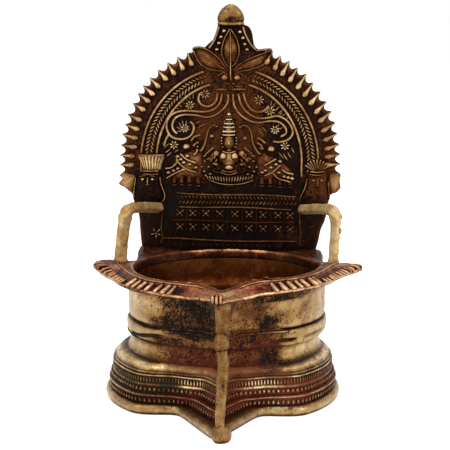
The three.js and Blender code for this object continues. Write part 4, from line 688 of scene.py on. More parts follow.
band_wall = turned([
    (5.0, 55.0, 69.0, 9.4), (6.0, 55.2, 69.2, 9.2), (7.8, 55.2, 69.0, 8.6), (8.6, 55.4, 68.4, 8.2),
    (8.6, 51.8, 60, 8), (5.0, 51.8, 60, 9),
], BASE_X, rub=[0.2, 0.15, 0.15, 0.3, 0, 0], seed=4)
centre, along, out = round_the_vessel(6.9, 55.3, 69.2, 8.9, 2.3)
strokes = swellings(centre, (0, 0, 1), along, out, 1.25, 0.75, 0.85, rub=0.85)
lay("foot_pellet_row", joined(band_wall, strokes), BEADED, "foot_bead_band")

ledge = turned([
    (8.6, 55.6, 67.6, 7.6), (9.0, 55.7, 67.8, 7.4), (9.4, 56.4, 68.8, 7.3), (9.9, 56.3, 68.5, 7),
    (10.2, 55.6, 67, 7), (10.6, 55.2, 66.2, 7), (10.6, 51.5, 60, 7), (8.6, 51.5, 60, 7),
], BASE_X, rub=[0.15, 0.2, 0.75, 0.85, 0.2, 0.15, 0, 0], uneven=0.06, seed=5)
lay("plinth_line", ledge, MAROON, "plinth_step")

row_wall = turned([
    (10.6, 54.5, 62.4, 7), (11.4, 54.6, 62.4, 7), (13.2, 54.5, 61.4, 7), (14.0, 54.7, 60.8, 7),
    (14.0, 51.2, 55, 7), (10.6, 51.2, 55, 7),
], BASE_X, rub=[0.2, 0.1, 0.1, 0.3, 0, 0], seed=6)
centre, along, out = round_the_vessel(12.3, 54.6, 62.0, 7, 2.25)
pellet_row = swellings(centre, (0, 0, 1), along, out, 0.95, 0.9, 1.0, rub=0.95)
lay("plinth_pellet_row", joined(row_wall, pellet_row), BEADED, "plinth_bead_band")

plinth = turned([
    (14.0, 54.6, 60.2, 7), (14.6, 54.5, 60, 7), (15.0, 54.0, 59.4, 7), (18.2, 53.9, 58.4, 7),
    (18.6, 54.4, 58.4, 7), (19.1, 54.3, 58, 7), (19.4, 53.6, 57.2, 6.8), (19.8, 53.7, 57, 6.6),
    (20.3, 53.9, 56.8, 6.4), (20.7, 53.2, 56.2, 6.2), (21.2, 53.0, 55.8, 6), (22.4, 52.1, 54.4, 5),
    (23.6, 50.6, 52.4, 4), (24.5, 49.3, 51, 3), (24.5, 45.6, 44, 3), (14.0, 50.6, 52, 7),
], BASE_X, rub=[0.6, 0.7, 0.2, 0.2, 0.8, 0.8, 0.2, 0.6, 0.8, 0.3, 0.6, 0.9, 0.8, 0.5, 0, 0], seed=7)
centre, along, out = round_the_vessel(16.6, 54.0, 59.0, 7, 1.55)
teeth = swellings(centre, (0, 0, 1), along, out, 1.5, 0.52, 0.6, rings=5, sides=6, rub=0.75)
lay("plinth_swell", joined(plinth, teeth), BEADED, "plinth_moulding")

# %% [markdown]
# The lower body is a hollow waist under a strap. The strap is cut free by a groove above and below on each
# side, and the grooves run out towards the front. A boolean cut would leave sharp edges, so the wall itself
# is pushed in along each groove, which gives the soft lips of a groove cut in wax.

# %% Waist and strap
def strap_grooves(turn, z):
    """Two hand cut grooves along the strap. On the left the lower one begins past the side and both run out
    at about 35 degrees from the front; on the right the lower one is short and deep near the front and thin
    further round."""
    signed = np.degrees(np.where(turn > math.pi, turn - TAU, turn))
    left, right = signed < 0, signed >= 0
    away = np.abs(signed)
    upper = 1.6 * ramp(30, 44, away) * (1 - 0.6 * ramp(120, 150, away))
    lower_left = 1.3 * ramp(32, 42, away) * (1 - ramp(66, 70, away))
    short_and_deep = 1.2 * ramp(30, 35, away) * (1 - ramp(42, 46, away))
    lower_right = short_and_deep + 0.5 * ramp(47, 52, away) * (1 - ramp(70, 76, away))
    lower = np.where(left, lower_left, lower_right)
    upper_z = 40.6 + np.where(right, 0.5, 0.0) + 0.25 * np.sin(turn * 9)
    lower_z = np.where(right, 35.7, 34.2 + 2.4 * (1 - ramp(38, 64, away))) + 0.2 * np.sin(turn * 7)
    return -upper * np.exp(-(((z - upper_z) / 0.85) ** 2)) - lower * np.exp(-(((z - lower_z) / 0.75) ** 2))


waist = turned([
    (24.5, 48.4, 50, 3), (25.3, 47.8, 49, 3), (27.0, 46.9, 48, 3), (29.5, 46.5, 47.2, 3), (31.8, 47.2, 48, 3),
    (33.0, 48.2, 49, 3), (33.0, 44.6, 43, 3), (24.5, 44.6, 43, 3),
], BASE_X * 0.5, rub=[0.3, 0.7, 0.9, 0.95, 0.8, 0.5, 0, 0], seed=8)
lay("waist_wall", waist, POLISHED, "lower_body")

arch = np.sin(np.linspace(0, np.pi, 29))
strap_rows = np.column_stack([np.linspace(33, 41.4, 29), 48.4 + 0.9 * arch**0.7, 49.2 + 0.8 * arch,
    np.full(29, 3)])
strap = turned([
    *strap_rows, (41.4, 42, 38, 3), (33.0, 42, 38, 3),
], swell=strap_grooves, rub=[0.7, *[0.92] * (len(strap_rows) - 2), 0.7, 0, 0], seed=9)
strap_lines = []
for first, last, z in ((-37, -7, 39.4), (7, 40, 39.8)):
    a = np.radians(np.linspace(first, last, 60)) % TAU
    reach = plan_radius(a, 49.2, 50.0, 3) + 0.15
    rise = 0.7 * np.sin(np.pi * np.linspace(0, 1, 60))
    path = np.column_stack([reach * np.sin(a), AXIS_Y - reach * np.cos(a), z + rise * 0.5])
    out = np.column_stack([np.sin(a), -np.cos(a), np.zeros(60)])
    strap_lines.append(cord(path, 0.75, 0.75, lift=out, ends=5, rub=1.0))
lay("waist_strap", joined(strap, *strap_lines), POLISHED, "waist_band")

# %% [markdown]
# The upper wall stands nearly straight at the sides and sweeps forward into the spout. The oil cup is a
# shell of its own inside it, with a rounded corner at its floor.

# %% Bowl wall and oil cup
def body_dents(turn, z):
    """Shallow hollows that the fingers of the moulder left beside the spout."""
    signed = np.where(turn > math.pi, turn - TAU, turn)
    left = -0.9 * np.exp(-(((signed + 0.28) / 0.1) ** 2) - ((z - 46) / 4) ** 2)
    right = -0.5 * np.exp(-(((signed - 0.34) / 0.12) ** 2) - ((z - 50) / 5) ** 2)
    return left + right


body_rows = curve_through([
    (41.4, 48.3, 49.2, 3), (44, 48.5, 50, 3), (47.4, 48.5, 52, 3), (50.9, 48.5, 55, 3), (55, 48.6, 59, 3),
    (58.6, 48.9, 62.5, 3),
], count=30)
body = turned([
    *body_rows, (58.6, 46.6, 59, 3), (50.9, 46.5, 51, 3), (41.4, 46.3, 45, 3),
], swell=body_dents, rub=[0.6, *[0.9] * 28, 0.6, 0, 0, 0], seed=10)
lay("bowl_wall", body, POLISHED, "upper_body")

cup_outer = [
    (41.5, 0.5, 0, 0), (41.5, 20, 18, 0), (41.5, 40, 38, 3), (42.8, 44.4, 43, 3), (46.6, 46.0, 46, 3),
    (51, 46.1, 50.4, 3), (58.6, 46.2, 57.6, 3),
]
cup_inner = [
    (58.6, 44.6, 54.2, 3), (54, 44.5, 50.5, 3), (51, 44.4, 47.2, 3), (47, 43.9, 43.5, 3),
    (44.6, 41.6, 39.5, 3), (43.6, 37, 34, 2), (43.4, 20, 18, 0), (43.4, 0.5, 0, 0),
]
inside_rub = np.interp(np.linspace(0, 1, 40), [0, 0.18, 0.3, 0.42, 0.6, 1],
    [0.85, 0.6, 0.75, 0.45, 0.3, 0.25])
cup_rub = [*[0.2] * len(cup_outer), *inside_rub]
cup = turned([*cup_outer, *curve_through(cup_inner, count=40)], wrap=False, rub=cup_rub, seed=11)
lay("oil_cup", cup, OILED, "oil_reservoir", clean=0.9)

# %% [markdown]
# The rim is a leaf: a shelf round the mouth with a beak over the spout, a pointed wing on each side and a
# square ledge behind for the plate. Its edge hangs as a hem. Seen from above its outline is a curve through
# knots of the right half, mirrored, and the surface runs from the mouth to that outline in rows.

# %% Rim outline
def rim_edge():
    """Outer edge of the rim for each turn: knots of the right half in x and y, turned into distance from the
    axis."""
    right = [
        (0, -69.2), (1.4, -69.0), (3.2, -66.4), (8, -61.2), (16, -54.6), (24, -50.6), (33, -44.2),
        (42, -36.2), (49.5, -25), (55.2, -12.0), (61, -3.0), (66.4, 5.0), (66.6, 10.5), (64.6, 15.6),
        (57, 16.6), (51.4, 18.5), (48.6, 26), (48.2, 38), (48.2, 51.8), (40, 52.2), (20, 52.2), (0, 52.2),
    ]
    half = curve_through(right, 0.4)
    both = np.vstack([half, np.column_stack([-half[::-1, 0], half[::-1, 1]])[1:-1]])
    turn = np.arctan2(both[:, 0], -both[:, 1]) % TAU
    order = np.argsort(turn)
    return np.interp(TURNS, turn[order], np.hypot(both[:, 0], both[:, 1])[order], period=TAU)


EDGE = rim_edge()
MOUTH = plan_radius(TURNS, 45.6, 57.6, 3)
away = np.minimum(TURNS, TAU - TURNS)
signed = np.degrees(np.where(TURNS > math.pi, TURNS - TAU, TURNS))
print("rim reaches", round(float(EDGE.max()), 1), "mm from the axis at the wings")

# %% [markdown]
# The rows below give the section of the rim. The hand made unevenness is in the terms that follow: the
# wings curl up at their tips, the beak rises, the right side stands higher than the left, and behind the
# bowl the shelf is flat.

# %% Rim surface
LEDGE_Z = 62.0
# The last column, rub, also holds painted light: the crest of the lip and the outer edge are painted bright
# and the underside dark.
rows = [  # share of the way from mouth to edge, height, rub
    (-0.03, 59.0, 0.25), (-0.01, 61.6, 0.4), (0.03, 62.8, 0.95), (0.07, 63.0, 0.95), (0.14, 62.8, 0.45),
    (0.28, 62.7, 0.55), (0.42, 62.6, 0.8), (0.48, 62.3, 0.6), (0.54, 61.6, 0.3), (0.75, 60.5, 0.22),
    (0.92, 59.5, 0.28), (0.98, 59.0, 0.45), (1.0, 58.6, 0.55), (0.98, 58.2, 0.3), (0.9, 58.3, 0.1),
    (0.6, 58.6, 0.0), (0.2, 58.9, 0.0),
]
share, level, shine = (np.array([row[k] for row in rows])[:, None] for k in range(3))
reach = MOUTH + share * (EDGE - MOUTH)
top = ramp(58.95, 60.2, level)
behind = ramp(1.75, 2.3, away) * ramp(0.12, 0.2, share) * top
wing = ramp(57, 62, EDGE) * (away > 1)
tip_rise = np.where(signed < 0, 2.6, 0.9) * ramp(58.5, 67, EDGE) * ramp(0.35, 1.0, share) * (away > 1)
beak_rise = 1.5 * (1 - ramp(0.0, 0.3, away)) * ramp(0.5, 1.0, share)
right_rise = 1.8 * ramp(4, 22, signed) * (1 - ramp(85, 110, signed)) * np.maximum(ramp(0.25, 0.8, share), top)
wing_rise = wing * ramp(0.3, 0.9, share) * (LEDGE_Z - level) * top * 0.7
height = level + (LEDGE_Z - level) * behind + wing_rise + tip_rise + beak_rise + right_rise
near_beak = 1 - ramp(13, 22, np.abs(signed))
wing_shine = 0.34 * wing * ramp(0.4, 0.56, share) * (1 - ramp(0.8, 0.9, share)) * (level > 60)
# wing_shine and near_beak are painted highlights: the upper faces of the wings and the outer half of the beak
# are painted brighter.
shine = shine - 0.15 * behind + wing_shine - 0.1 * ramp(1.6, 2.2, away) * (share < 0.1)
shine = shine + near_beak * ((share > 0.5) & (level > 58.5)) * 0.4
skin_z = np.broadcast_to(height, reach.shape)
skin = np.stack([reach * np.sin(TURNS), AXIS_Y - reach * np.cos(TURNS), skin_z], 2)
uneven = wobble(skin, 14, 21) * 0.2 + wobble(skin, 5, 22) * 0.15
skin[..., 2] += uneven * (share > 0.03) * (1 - behind)
rim = closed(skin.reshape(-1, 3), [grid_faces(len(rows), len(TURNS), wrap_rows=True)],
    (shine * np.ones_like(reach)).ravel())
print("rim skin", skin.shape)

# %% [markdown]
# Ridges cross the hem, thick ones on the front and fine ones on the wings. A thread ends them above, and a
# scalloped one below. They were pressed on one by one, so their places and widths wander.

# %% Hem ridges
HEM_TOP, HEM_FOOT = 7, 11


def along_rim(first, last):
    """The places in TURNS between two turns in degrees, and how far each lies along the hem."""
    steps = np.nonzero((signed >= min(first, last)) & (signed <= max(first, last)))[0]
    steps = steps[np.argsort(signed[steps])]
    far = np.concatenate([[0], np.cumsum(np.linalg.norm(np.diff(skin[HEM_FOOT, steps], axis=0), axis=1))])
    return steps, far


RIDGE_ZONES = [  # first and last turn in degrees, pitch, half width, rows of the skin that the ridge follows
    (23, 57, 4.7, 1.45, (7, 8, 9, 10, 11, 12)), (58.5, 96, 3.3, 1.1, (8.7, 9.3, 10, 10.6, 11.3, 12)),
]
ridges = []
shaky = np.random.default_rng(12)
for side in (-1, 1):
    for first, last, pitch, width, hem_rows in RIDGE_ZONES:
        steps, far = along_rim(side * first, side * last)
        places = np.interp(np.arange(pitch / 2, far[-1], pitch), far, np.arange(len(steps))).astype(int)
        low_row = np.floor(hem_rows).astype(int)
        part = (np.array(hem_rows) - low_row)[:, None]
        for place in places:
            column = steps[np.clip(place + shaky.integers(-1, 2), 0, len(steps) - 1)]
            thick = width * shaky.uniform(0.8, 1.2)
            out = unit(np.array([[math.sin(TURNS[column]), -math.cos(TURNS[column]), 0.9]]))
            knots = skin[low_row, column] * (1 - part) + skin[low_row + 1, column] * part
            ridges.append(cord(curve_through(knots, 0.6), thick, thick * 1.1, lift=out, sides=8, ends=0.6,
                tapers=(0.75, 1.25), rub=1.2))
    steps, far = along_rim(side * 8, side * 104)
    scallop = 0.4 * np.abs(np.sin(far * np.pi / np.where(far > far[-1] * 0.55, 2.7, 4.5)))
    inward = -0.4 * np.column_stack([np.sin(TURNS[steps]), -np.cos(TURNS[steps]), -0.6 * np.ones(len(steps))])
    hem_line = skin[HEM_FOOT + 1, steps] + inward * (1 - scallop[:, None])
    hem_out = unit(np.column_stack([np.sin(TURNS[steps]), -np.cos(TURNS[steps]), 0.7 * np.ones(len(steps))]))
    ridges.append(cord(hem_line[::2], 0.85, 0.9, lift=hem_out[::2], sink=0.5, sides=8, rub=1.25))
    ridges.append(cord(skin[HEM_TOP - 1, steps][::2] + (0, 0, -0.1), 0.6, 0.7, lift=(0, 0, 1), sides=6,
        rub=1.15))
print("ridges and threads", len(ridges))

# %% [markdown]
# Three uprights end the beak where the strut's head holds it, and a few drops of metal stand on the lip.

# %% Beak and lip
REACH_X = 66.4
nib_x = np.array([-3.4, -1.7, 0.2])
nib = swellings(np.column_stack([nib_x, np.full(3, AXIS_Y - 68.4), np.full(3, 61.4)]), (0, 0.1, 1), (1, 0, 0),
    (0, -1, 0.1), [2.3, 2.6, 2.3], 1.15, 1.6, rings=8, sides=10, sink=1.0, rub=0.9)
warts = np.array([(17.0, 62.9), (23.5, 63.6), (-18.5, 62.6), (-26.0, 62.4), (-11.0, 62.5)])
turn = np.arcsin(warts[:, 0] / 52)
lip = np.interp(turn % TAU, TURNS, MOUTH, period=TAU) + 1.2
wart_z = warts[:, 1] + 1.4 * (turn > 0)
wart_places = np.column_stack([lip * np.sin(turn), AXIS_Y - lip * np.cos(turn), wart_z])
warts = swellings(wart_places, (1, 0, 0), (0, 1, 0), (0, 0, 1), [1.5, 1.3, 1.6, 2.0, 1.4], 0.9, 0.8, rub=0.95)
rim_points, rim_faces, rim_rub = joined(rim, nib, warts, *ridges)
rim_points[:, 0] = np.clip(rim_points[:, 0], -REACH_X, REACH_X)
lay("leaf_rim", (rim_points, rim_faces, rim_rub), MAROON, "rim_flange")

# %% [markdown]
# In front of the prow a strut runs up from a ball in the tip of the foot: a squarish bar, a round collar
# and a broad head that carries the beak. Each arm is a bar from the wing up to an elbow and back to the
# plate. They were rolled and pinched by hand, so their sections are rounded squares whose size and place
# wander a little.

# %% Pinched bars
def bar(path, half_width, half_depth, lift, squareness=0.65, seed=0, wander=0.22, sides=20, rub=0.76):
    """A pinched bar: round the path the section is cos a and sin a each raised to a power, which squares the
    circle, and the skin is then moved by a slow wobble."""
    path = np.asarray(path, float)
    lift = np.broadcast_to(np.asarray(lift, float), path.shape)
    tangent = unit(np.gradient(path, axis=0))
    side = unit(np.cross(tangent, lift))
    up = np.cross(side, tangent)
    a = (np.arange(sides) + 0.5) * TAU / sides
    wave_s = np.sign(np.cos(a)) * np.abs(np.cos(a)) ** squareness
    wave_u = np.sign(np.sin(a)) * np.abs(np.sin(a)) ** squareness
    width = np.broadcast_to(half_width, len(path))[:, None, None]
    depth = np.broadcast_to(half_depth, len(path))[:, None, None]
    sideways = side[:, None] * wave_s[None, :, None]
    upward = up[:, None] * wave_u[None, :, None]
    skin = path[:, None] + sideways * width + upward * depth
    uneven = wobble(skin, 7, seed) * wander + wobble(skin, 3.1, seed + 1) * wander * 0.35
    skin = skin + (sideways + upward) * uneven[..., None]
    rows = len(path)
    caps = [np.arange(sides)[None, ::-1], np.arange(sides)[None] + (rows - 1) * sides]
    return closed(skin.reshape(-1, 3), [grid_faces(rows, sides), *caps], np.full(rows * sides, rub))


print("bar of 10 mm has", len(bar(curve_through([(0, 0, 0), (0, 0, 10)]), 2, 2, (0, -1, 0))[0]), "points")

# %% [markdown]
# The strut leans back from the tip of the foot to the beak, and its four pieces follow one line, so that
# they meet.

# %% Strut
STRUT_FOOT = (AXIS_Y - 80.2, 5)  # y and z
STRUT_TOP = (AXIS_Y - 65.7, 58.6)


def strut_line(z):
    """Points of the strut's leaning line at these heights. It bows a little to the right above the foot."""
    s = (np.asarray(z, float) - STRUT_FOOT[1]) / (STRUT_TOP[1] - STRUT_FOOT[1])
    x = np.interp(z, [0, 9, 20, 34, 40, 46, 58.6], [0.9, 0.1, 0.7, 1.5, 0.6, 0.7, 1.0])
    return np.column_stack([x, STRUT_FOOT[0] + (STRUT_TOP[0] - STRUT_FOOT[0]) * np.maximum(s, 0), z])


z = np.linspace(0.35, 7.6, 17)
ball = 4.6 * np.sqrt(1 - ((z - 3.5) / 4.75) ** 2)
lay("strut_ball", bar(strut_line(z) + (0.3, 0.9, 0), ball, ball, (0, -1, 0), 1.0, 31, 0.06), POLISHED,
    "strut_foot", clean=0.6)
z = np.linspace(5, 38.6, 60)
shank = bar(strut_line(z), np.interp(z, [5, 12, 26, 38.6], [2.0, 2.1, 2.5, 2.35]), 2.4, (0, -1, 0), 0.62, 32,
    0.3)
lay("strut_shank", shank, POLISHED, "strut_lower_bar", clean=0.75)
z = np.linspace(38.6, 46.3, 17)
belly = np.interp((z - 38.6) / 7.7, [0, 0.15, 0.3, 0.58, 0.85, 1], [0.62, 0.82, 0.96, 1.0, 0.82, 0.62])
lay("strut_collar", bar(strut_line(z), 3.5 * belly, 3.5 * belly, (0, -1, 0), 0.95, 33, 0.15, 24), POLISHED,
    "strut_knob", clean=0.5)
z = np.linspace(46.3, 58.6, 22)
head_width = np.interp(z, [46.3, 50, 54, 58.6], [2.6, 2.9, 3.4, 3.7])
head_depth = np.interp(z, [46.3, 54, 58.6], [2.4, 2.6, 2.6])
head = bar(strut_line(z), head_width, head_depth, (0, -1, 0), 0.85, 34, 0.25)
lay("strut_head", head, POLISHED, "strut_upper_bar", clean=0.4)

# %% [markdown]
# The arms aren't a pair: the left one is broad and leans out, and the right one is slimmer, with two burrs
# that the file never took off.

# %% Arms
ARM_KNOTS = {  # x, distance behind the axis, height
    "left": [
        (-53.6, 11.4, 62.0), (-53.4, 11, 66), (-52.6, 11, 74), (-51.6, 10.6, 81), (-50.6, 10.6, 86),
        (-49.4, 14.5, 88.6), (-45.2, 28, 87.6), (-41.6, 40, 85.8), (-37.6, 47.2, 84.6),
    ],
    "right": [
        (52.6, 11.4, 62.0), (52.6, 11, 66), (53.0, 11, 74), (53.4, 10.4, 82), (53.0, 10.6, 87),
        (51.4, 14.5, 88.8), (46.2, 28, 87.4), (41.8, 40, 85.4), (37.2, 47.2, 84.2),
    ],
}
burrs_right = swellings([(55.4, AXIS_Y + 10.2, 86.2), (55.3, AXIS_Y + 10.2, 79.2)], (0, 0, 1),
    (-0.85, -0.5, 0), (0.5, -0.85, 0), 1.6, 1.3, 1.2, sink=1.0, rub=0.8)
for side, word, wide, burrs in ((-1, "left", 1.42, []), (1, "right", 1.08, [burrs_right])):
    knots = np.array(ARM_KNOTS[word])
    knots[:, 1] += AXIS_Y
    path = curve_through(knots, 0.6)
    elbow = np.exp(-(((path[:, 2] - 87) / 3.5) ** 2)) * (path[:, 1] < AXIS_Y + 18)
    size = 2.05 + 0.5 * ramp(66, 62, path[:, 2]) + 0.5 * elbow
    arm = bar(path, size * wide, size * 1.15, (0.25 * side, 0.5, 0.85), 0.58, 40 + side, 0.2,
        rub=0.84 if side < 0 else 1.0)
    lay(f"{word}_arm", joined(arm, *burrs), PALE, f"{word}_bracket", clean=0.8)

# %% [markdown]
# The plate is a sheet of wax cut to an arch. Its edge is cut in teeth, and each tooth carries a thread that
# starts as a round drop and thins out to the tooth's tip. The teeth of a hand cut plate aren't quite even,
# so their tips and drops are given one by one. The plate could be a flat face with a Solidify modifier, but
# its cut edge is rounded by wear, so rows of the outline carry it round the edge.

# %% Arch plate
LEFT_TIPS = [
    (-58.9, 97), (-58.3, 101.8), (-58.2, 107.1), (-58.1, 112.3), (-57.5, 117.5), (-56.9, 123.3),
    (-55.3, 128.5), (-53.7, 133.7), (-51, 139.4), (-48.4, 144.6), (-45.7, 148.7), (-42.1, 152.8),
    (-37.9, 156.9), (-32.7, 160.5), (-27.5, 163.6), (-22.3, 165.6),
]
LEFT_DROPS = [
    (-52, 98.1), (-50.9, 101.8), (-51.4, 107.2), (-50.8, 111.8), (-49.7, 116.5), (-49.1, 121.2),
    (-48.2, 125.8), (-47, 130.6), (-45.0, 136.0), (-42.4, 140.4), (-40.1, 144.1), (-37.2, 148.0),
    (-33.3, 151.8), (-29.1, 154.6), (-24.5, 157.2), (-20.0, 159.4),
]
RIGHT_TIPS = [
    (57.5, 98.2), (57.4, 102.9), (57.4, 108.1), (57.3, 113.3), (56.7, 118.5), (55.6, 124.2), (54.5, 129.9),
    (52.4, 135.6), (49.7, 140.7), (46.6, 145.8), (42.9, 150.4), (39.3, 155), (34.7, 158.1), (30.5, 161.6),
    (25.9, 164.2), (21.5, 166.2),
]
RIGHT_DROPS = [
    (50.6, 98.6), (50.4, 103.4), (50.2, 107.6), (50.0, 111.8), (49.6, 116.0), (49.0, 120.6), (47.8, 125.2),
    (46.2, 130.4), (44.0, 134.8), (41.2, 139.4), (38.0, 143.6), (34.6, 147.6), (30.6, 151.2), (26.6, 154.4),
    (22.8, 157.4), (18.6, 160.2),
]
LOWER_LEFT = [
    (-46.2, 60.8), (-46.6, 63.0), (-47.2, 68), (-47.6, 73), (-48.2, 80.7), (-50.6, 87.6), (-51.6, 92.0),
]
LOWER_RIGHT = [
    (44.4, 60.8), (44.9, 63.0), (46.3, 68.1), (47.4, 73.6), (49.6, 79), (51.2, 88), (52.2, 91.8),
    (55.4, 93.2), (57.4, 95.6),
]
LUMPS = {  # the two lowest teeth of each side ran together in the casting
    "left": [
        (-58.4, 97.2), (-56.5, 99.9), (-58.0, 101.8), (-54.5, 103.0), (-51.0, 102.3), (-49.2, 100.6),
        (-49.6, 97.0), (-50.8, 93.4), (-54.6, 95.0),
    ],
    "right": [
        (51.7, 102.6), (54.3, 103.2), (57.2, 102.9), (56.8, 99.3), (57.2, 96.2), (54.6, 93.4), (52.0, 93.0),
        (50.7, 98.2),
    ],
}
SCALLOP = 3.7


def toothed(tips):
    """From tip to tip the edge is (1-t)^2 A + 2t(1-t) V + t^2 B, where V lies inside the middle of A and B
    towards the arch centre, so that it swings in as a scallop and comes to a point at each tip."""
    tips = np.asarray(tips, float)
    a, b = tips[:-1, None], tips[1:, None]
    middle = (a + b) / 2
    inside = unit(np.array([ARCH_X, ARCH_Z]) - middle)
    v = middle + inside * SCALLOP * 1.6
    t = np.linspace(0.06, 0.94, 9)[None, :, None]
    return ((1 - t) ** 2 * a + 2 * t * (1 - t) * v + t**2 * b).reshape(-1, 2)


edge = np.vstack([
    curve_through(LOWER_RIGHT, 1.2), toothed(RIGHT_TIPS), [(12.2, 167.2), (0, 168.2), (-12.2, 167.2)],
    toothed(LEFT_TIPS)[::-1], curve_through(LOWER_LEFT, 1.2)[::-1],
])
corners = np.linspace(edge[-1], edge[0], 60)[1:-1]
edge = np.vstack([edge, corners])
middle = np.array([ARCH_X, 104.0])
rows = [
    (0.001, 0.0), (0.2, 0.0), (0.4, 0.0), (0.6, 0.0), (0.75, 0.0), (0.88, 0.0), (0.955, 0.05), (0.985, 0.35),
    (1.0, 1.0), (0.998, 2.2), (0.985, 2.9), (0.95, 3.2), (0.6, 3.2), (0.3, 3.2), (0.001, 3.2),
]
share, deep = (np.array([row[k] for row in rows])[:, None] for k in range(2))
xz = middle + share[..., None] * (edge - middle)[None]
skin = np.stack([xz[..., 0], np.broadcast_to(PLATE_FRONT + deep, xz.shape[:2]), xz[..., 1]], 2)
skin[..., 1] += np.where(deep > 3, wobble(skin, 24, 50) * 0.2 - 0.2, 0)
n = len(edge)
plate_rub = np.where(deep < 0.3, 0.13, np.where(deep < 2, 0.45, 0.3)) + 0.14 * ((share > 0.8) & (deep < 0.3))
caps = [np.arange(n)[None, ::-1], np.arange(n)[None] + (len(rows) - 1) * n]
arch = closed(skin.reshape(-1, 3), [grid_faces(len(rows), n), *caps],
    np.broadcast_to(plate_rub, (len(rows), n)).ravel())
lay("arch_plate", arch, RELIEF, "backplate", sharp=60)

# %% [markdown]
# Each tear drop is one thread, thick at the drop and thin at the tip. The lowest teeth of each side are a
# lump.

# %% Tear drops
for word, tips, drops in (("left", LEFT_TIPS, LEFT_DROPS), ("right", RIGHT_TIPS, RIGHT_DROPS)):
    tips, drops = np.array(tips, float), np.array(drops, float)
    tears = []
    for tip, drop in zip(tips[2:], drops[2:]):
        toward = (tip - drop) / np.linalg.norm(tip - drop)
        path = curve_through([
            drop - toward * 1.4, drop, drop + toward * 1.7, (drop + tip) / 2 + toward * 0.6,
            tip - toward * 0.5,
        ], 0.45)
        far = np.linalg.norm(path - path[0], axis=1)
        far = far / far[-1]
        size = np.interp(far, [0, 0.12, 0.25, 0.42, 0.65, 1], [0.9, 1.7, 2.0, 1.3, 0.75, 0.4])
        tears.append(cord(on_plate(path), size, np.interp(far, [0, 0.25, 0.5, 1], [1.3, 2.0, 1.2, 0.6]),
            ends=0.6, rub=0.95))
    tears.append(dome(curve_through(LUMPS[word], 0.8, closed_loop=True)[:-1], 1.7, fullness=2.4,
        rub=(0.6, 1.0)))
    lay(f"{word}_tear_drops", joined(*tears), RELIEF, f"{word}_flame_drops")

# %% [markdown]
# Inside the teeth run two cords with a braid of short slanting strokes between them, pressed in with the
# edge of a modelling tool. Each follows an ellipse round the centre of the arch.

# %% Cords and braid
def ellipse_route(side, half_width, rise, first, last, spacing=0.7, foot=None):
    """Points a cos u, b sin u on one side of the arch between two angles in degrees, with a straight foot if
    asked."""
    u = np.radians(np.linspace(first, last, 60))
    route = np.column_stack([ARCH_X + side * half_width * np.cos(u), ARCH_Z + rise * np.sin(u)])
    if foot is not None:
        route = np.vstack([[(ARCH_X + side * half_width, foot)], route])
    return curve_through(route, spacing)


for side, word in ((-1, "left"), (1, "right")):
    outer = ellipse_route(side, 46.2 if side < 0 else 45.9, 48.6, -3, 74, foot=101)
    lay(f"{word}_outer_thread", cord(on_plate(outer), 0.9, 1.25, tapers=(0.8, 1.1), ends=0.8, rub=0.84),
        RELIEF, f"{word}_outer_cord")
    inner = ellipse_route(side, 38.2 if side < 0 else 37.4, 41.4, -4, 76, foot=100.5)
    lay(f"{word}_inner_thread", cord(on_plate(inner), 0.95, 1.35, tapers=(0.85, 1.15), ends=0.8, rub=0.84),
        RELIEF, f"{word}_inner_cord")
    braid = []
    for half_width, rise, lean, shift in ((43.4, 46.4, 42, 0.0), (40.9, 43.9, -38, 0.5)):
        path = ellipse_route(side, half_width, rise, -7, 75, 0.2)
        far = np.concatenate([[0], np.cumsum(np.linalg.norm(np.diff(path, axis=0), axis=1))])
        even = np.arange(0.5 + shift, far[-1] - 0.4, 1.95)
        xz = np.column_stack([np.interp(even, far, path[:, i]) for i in range(2)])
        ahead = np.column_stack([np.interp(even + 0.3, far, path[:, i]) for i in range(2)])
        angle = np.degrees(np.arctan2(*(ahead - xz).T[::-1])) + side * lean
        braid.append(petals(xz, angle, 1.6, 0.58, 0.85, taper=0.15, rings=5, sides=6, rub=0.95))
    lay(f"{word}_braid", joined(*braid), RELIEF, f"{word}_arch_braid")

# %% [markdown]
# The crest is a neck above the arch, a plain bud on a ring, and three leaves that spread over the arch
# below it. The neck is cut from the sheet like the plate, so rows of its outline carry it round its edge in
# the same way.

# %% Crest neck
neck_left = curve_through([
    (-14.8, 166.6), (-10.9, 170.2), (-8.6, 172.4), (-7.1, 176.0), (-6.6, 179.2),
], count=24)
neck_right = curve_through([
    (15.0, 166.2), (12.4, 168.6), (11.6, 171.7), (11.0, 175.3), (9.4, 178.4), (7.2, 179.4),
], count=24)
neck_outline = np.vstack([neck_right, neck_left[::-1]])
neck_rows = [
    (0.001, 0.0), (0.5, 0.0), (0.9, 0.05), (1.0, 0.7), (1.0, 2.5), (0.93, 3.2), (0.5, 3.2), (0.001, 3.2),
]
share, deep = (np.array([row[k] for row in neck_rows])[:, None] for k in range(2))
neck_middle = neck_outline.mean(0)
xz = neck_middle + share[..., None] * (neck_outline - neck_middle)[None]
skin = np.stack([xz[..., 0], np.broadcast_to(PLATE_FRONT + deep, xz.shape[:2]), xz[..., 1]], 2)
n = len(neck_outline)
caps = [np.arange(n)[None, ::-1], np.arange(n)[None] + (len(neck_rows) - 1) * n]
neck = closed(skin.reshape(-1, 3), [grid_faces(len(neck_rows), n), *caps], np.full(len(neck_rows) * n, 0.12))
neck_cords = [
    plate_cord([(-11.3, 167.1), (-8.6, 170.9), (-6.8, 175.2), (-5.7, 178.9)], 0.8, 1.5),
    plate_cord([(13.4, 166.4), (10.2, 169.8), (7.5, 174.9), (6.3, 178.7)], 0.8, 1.5),
]
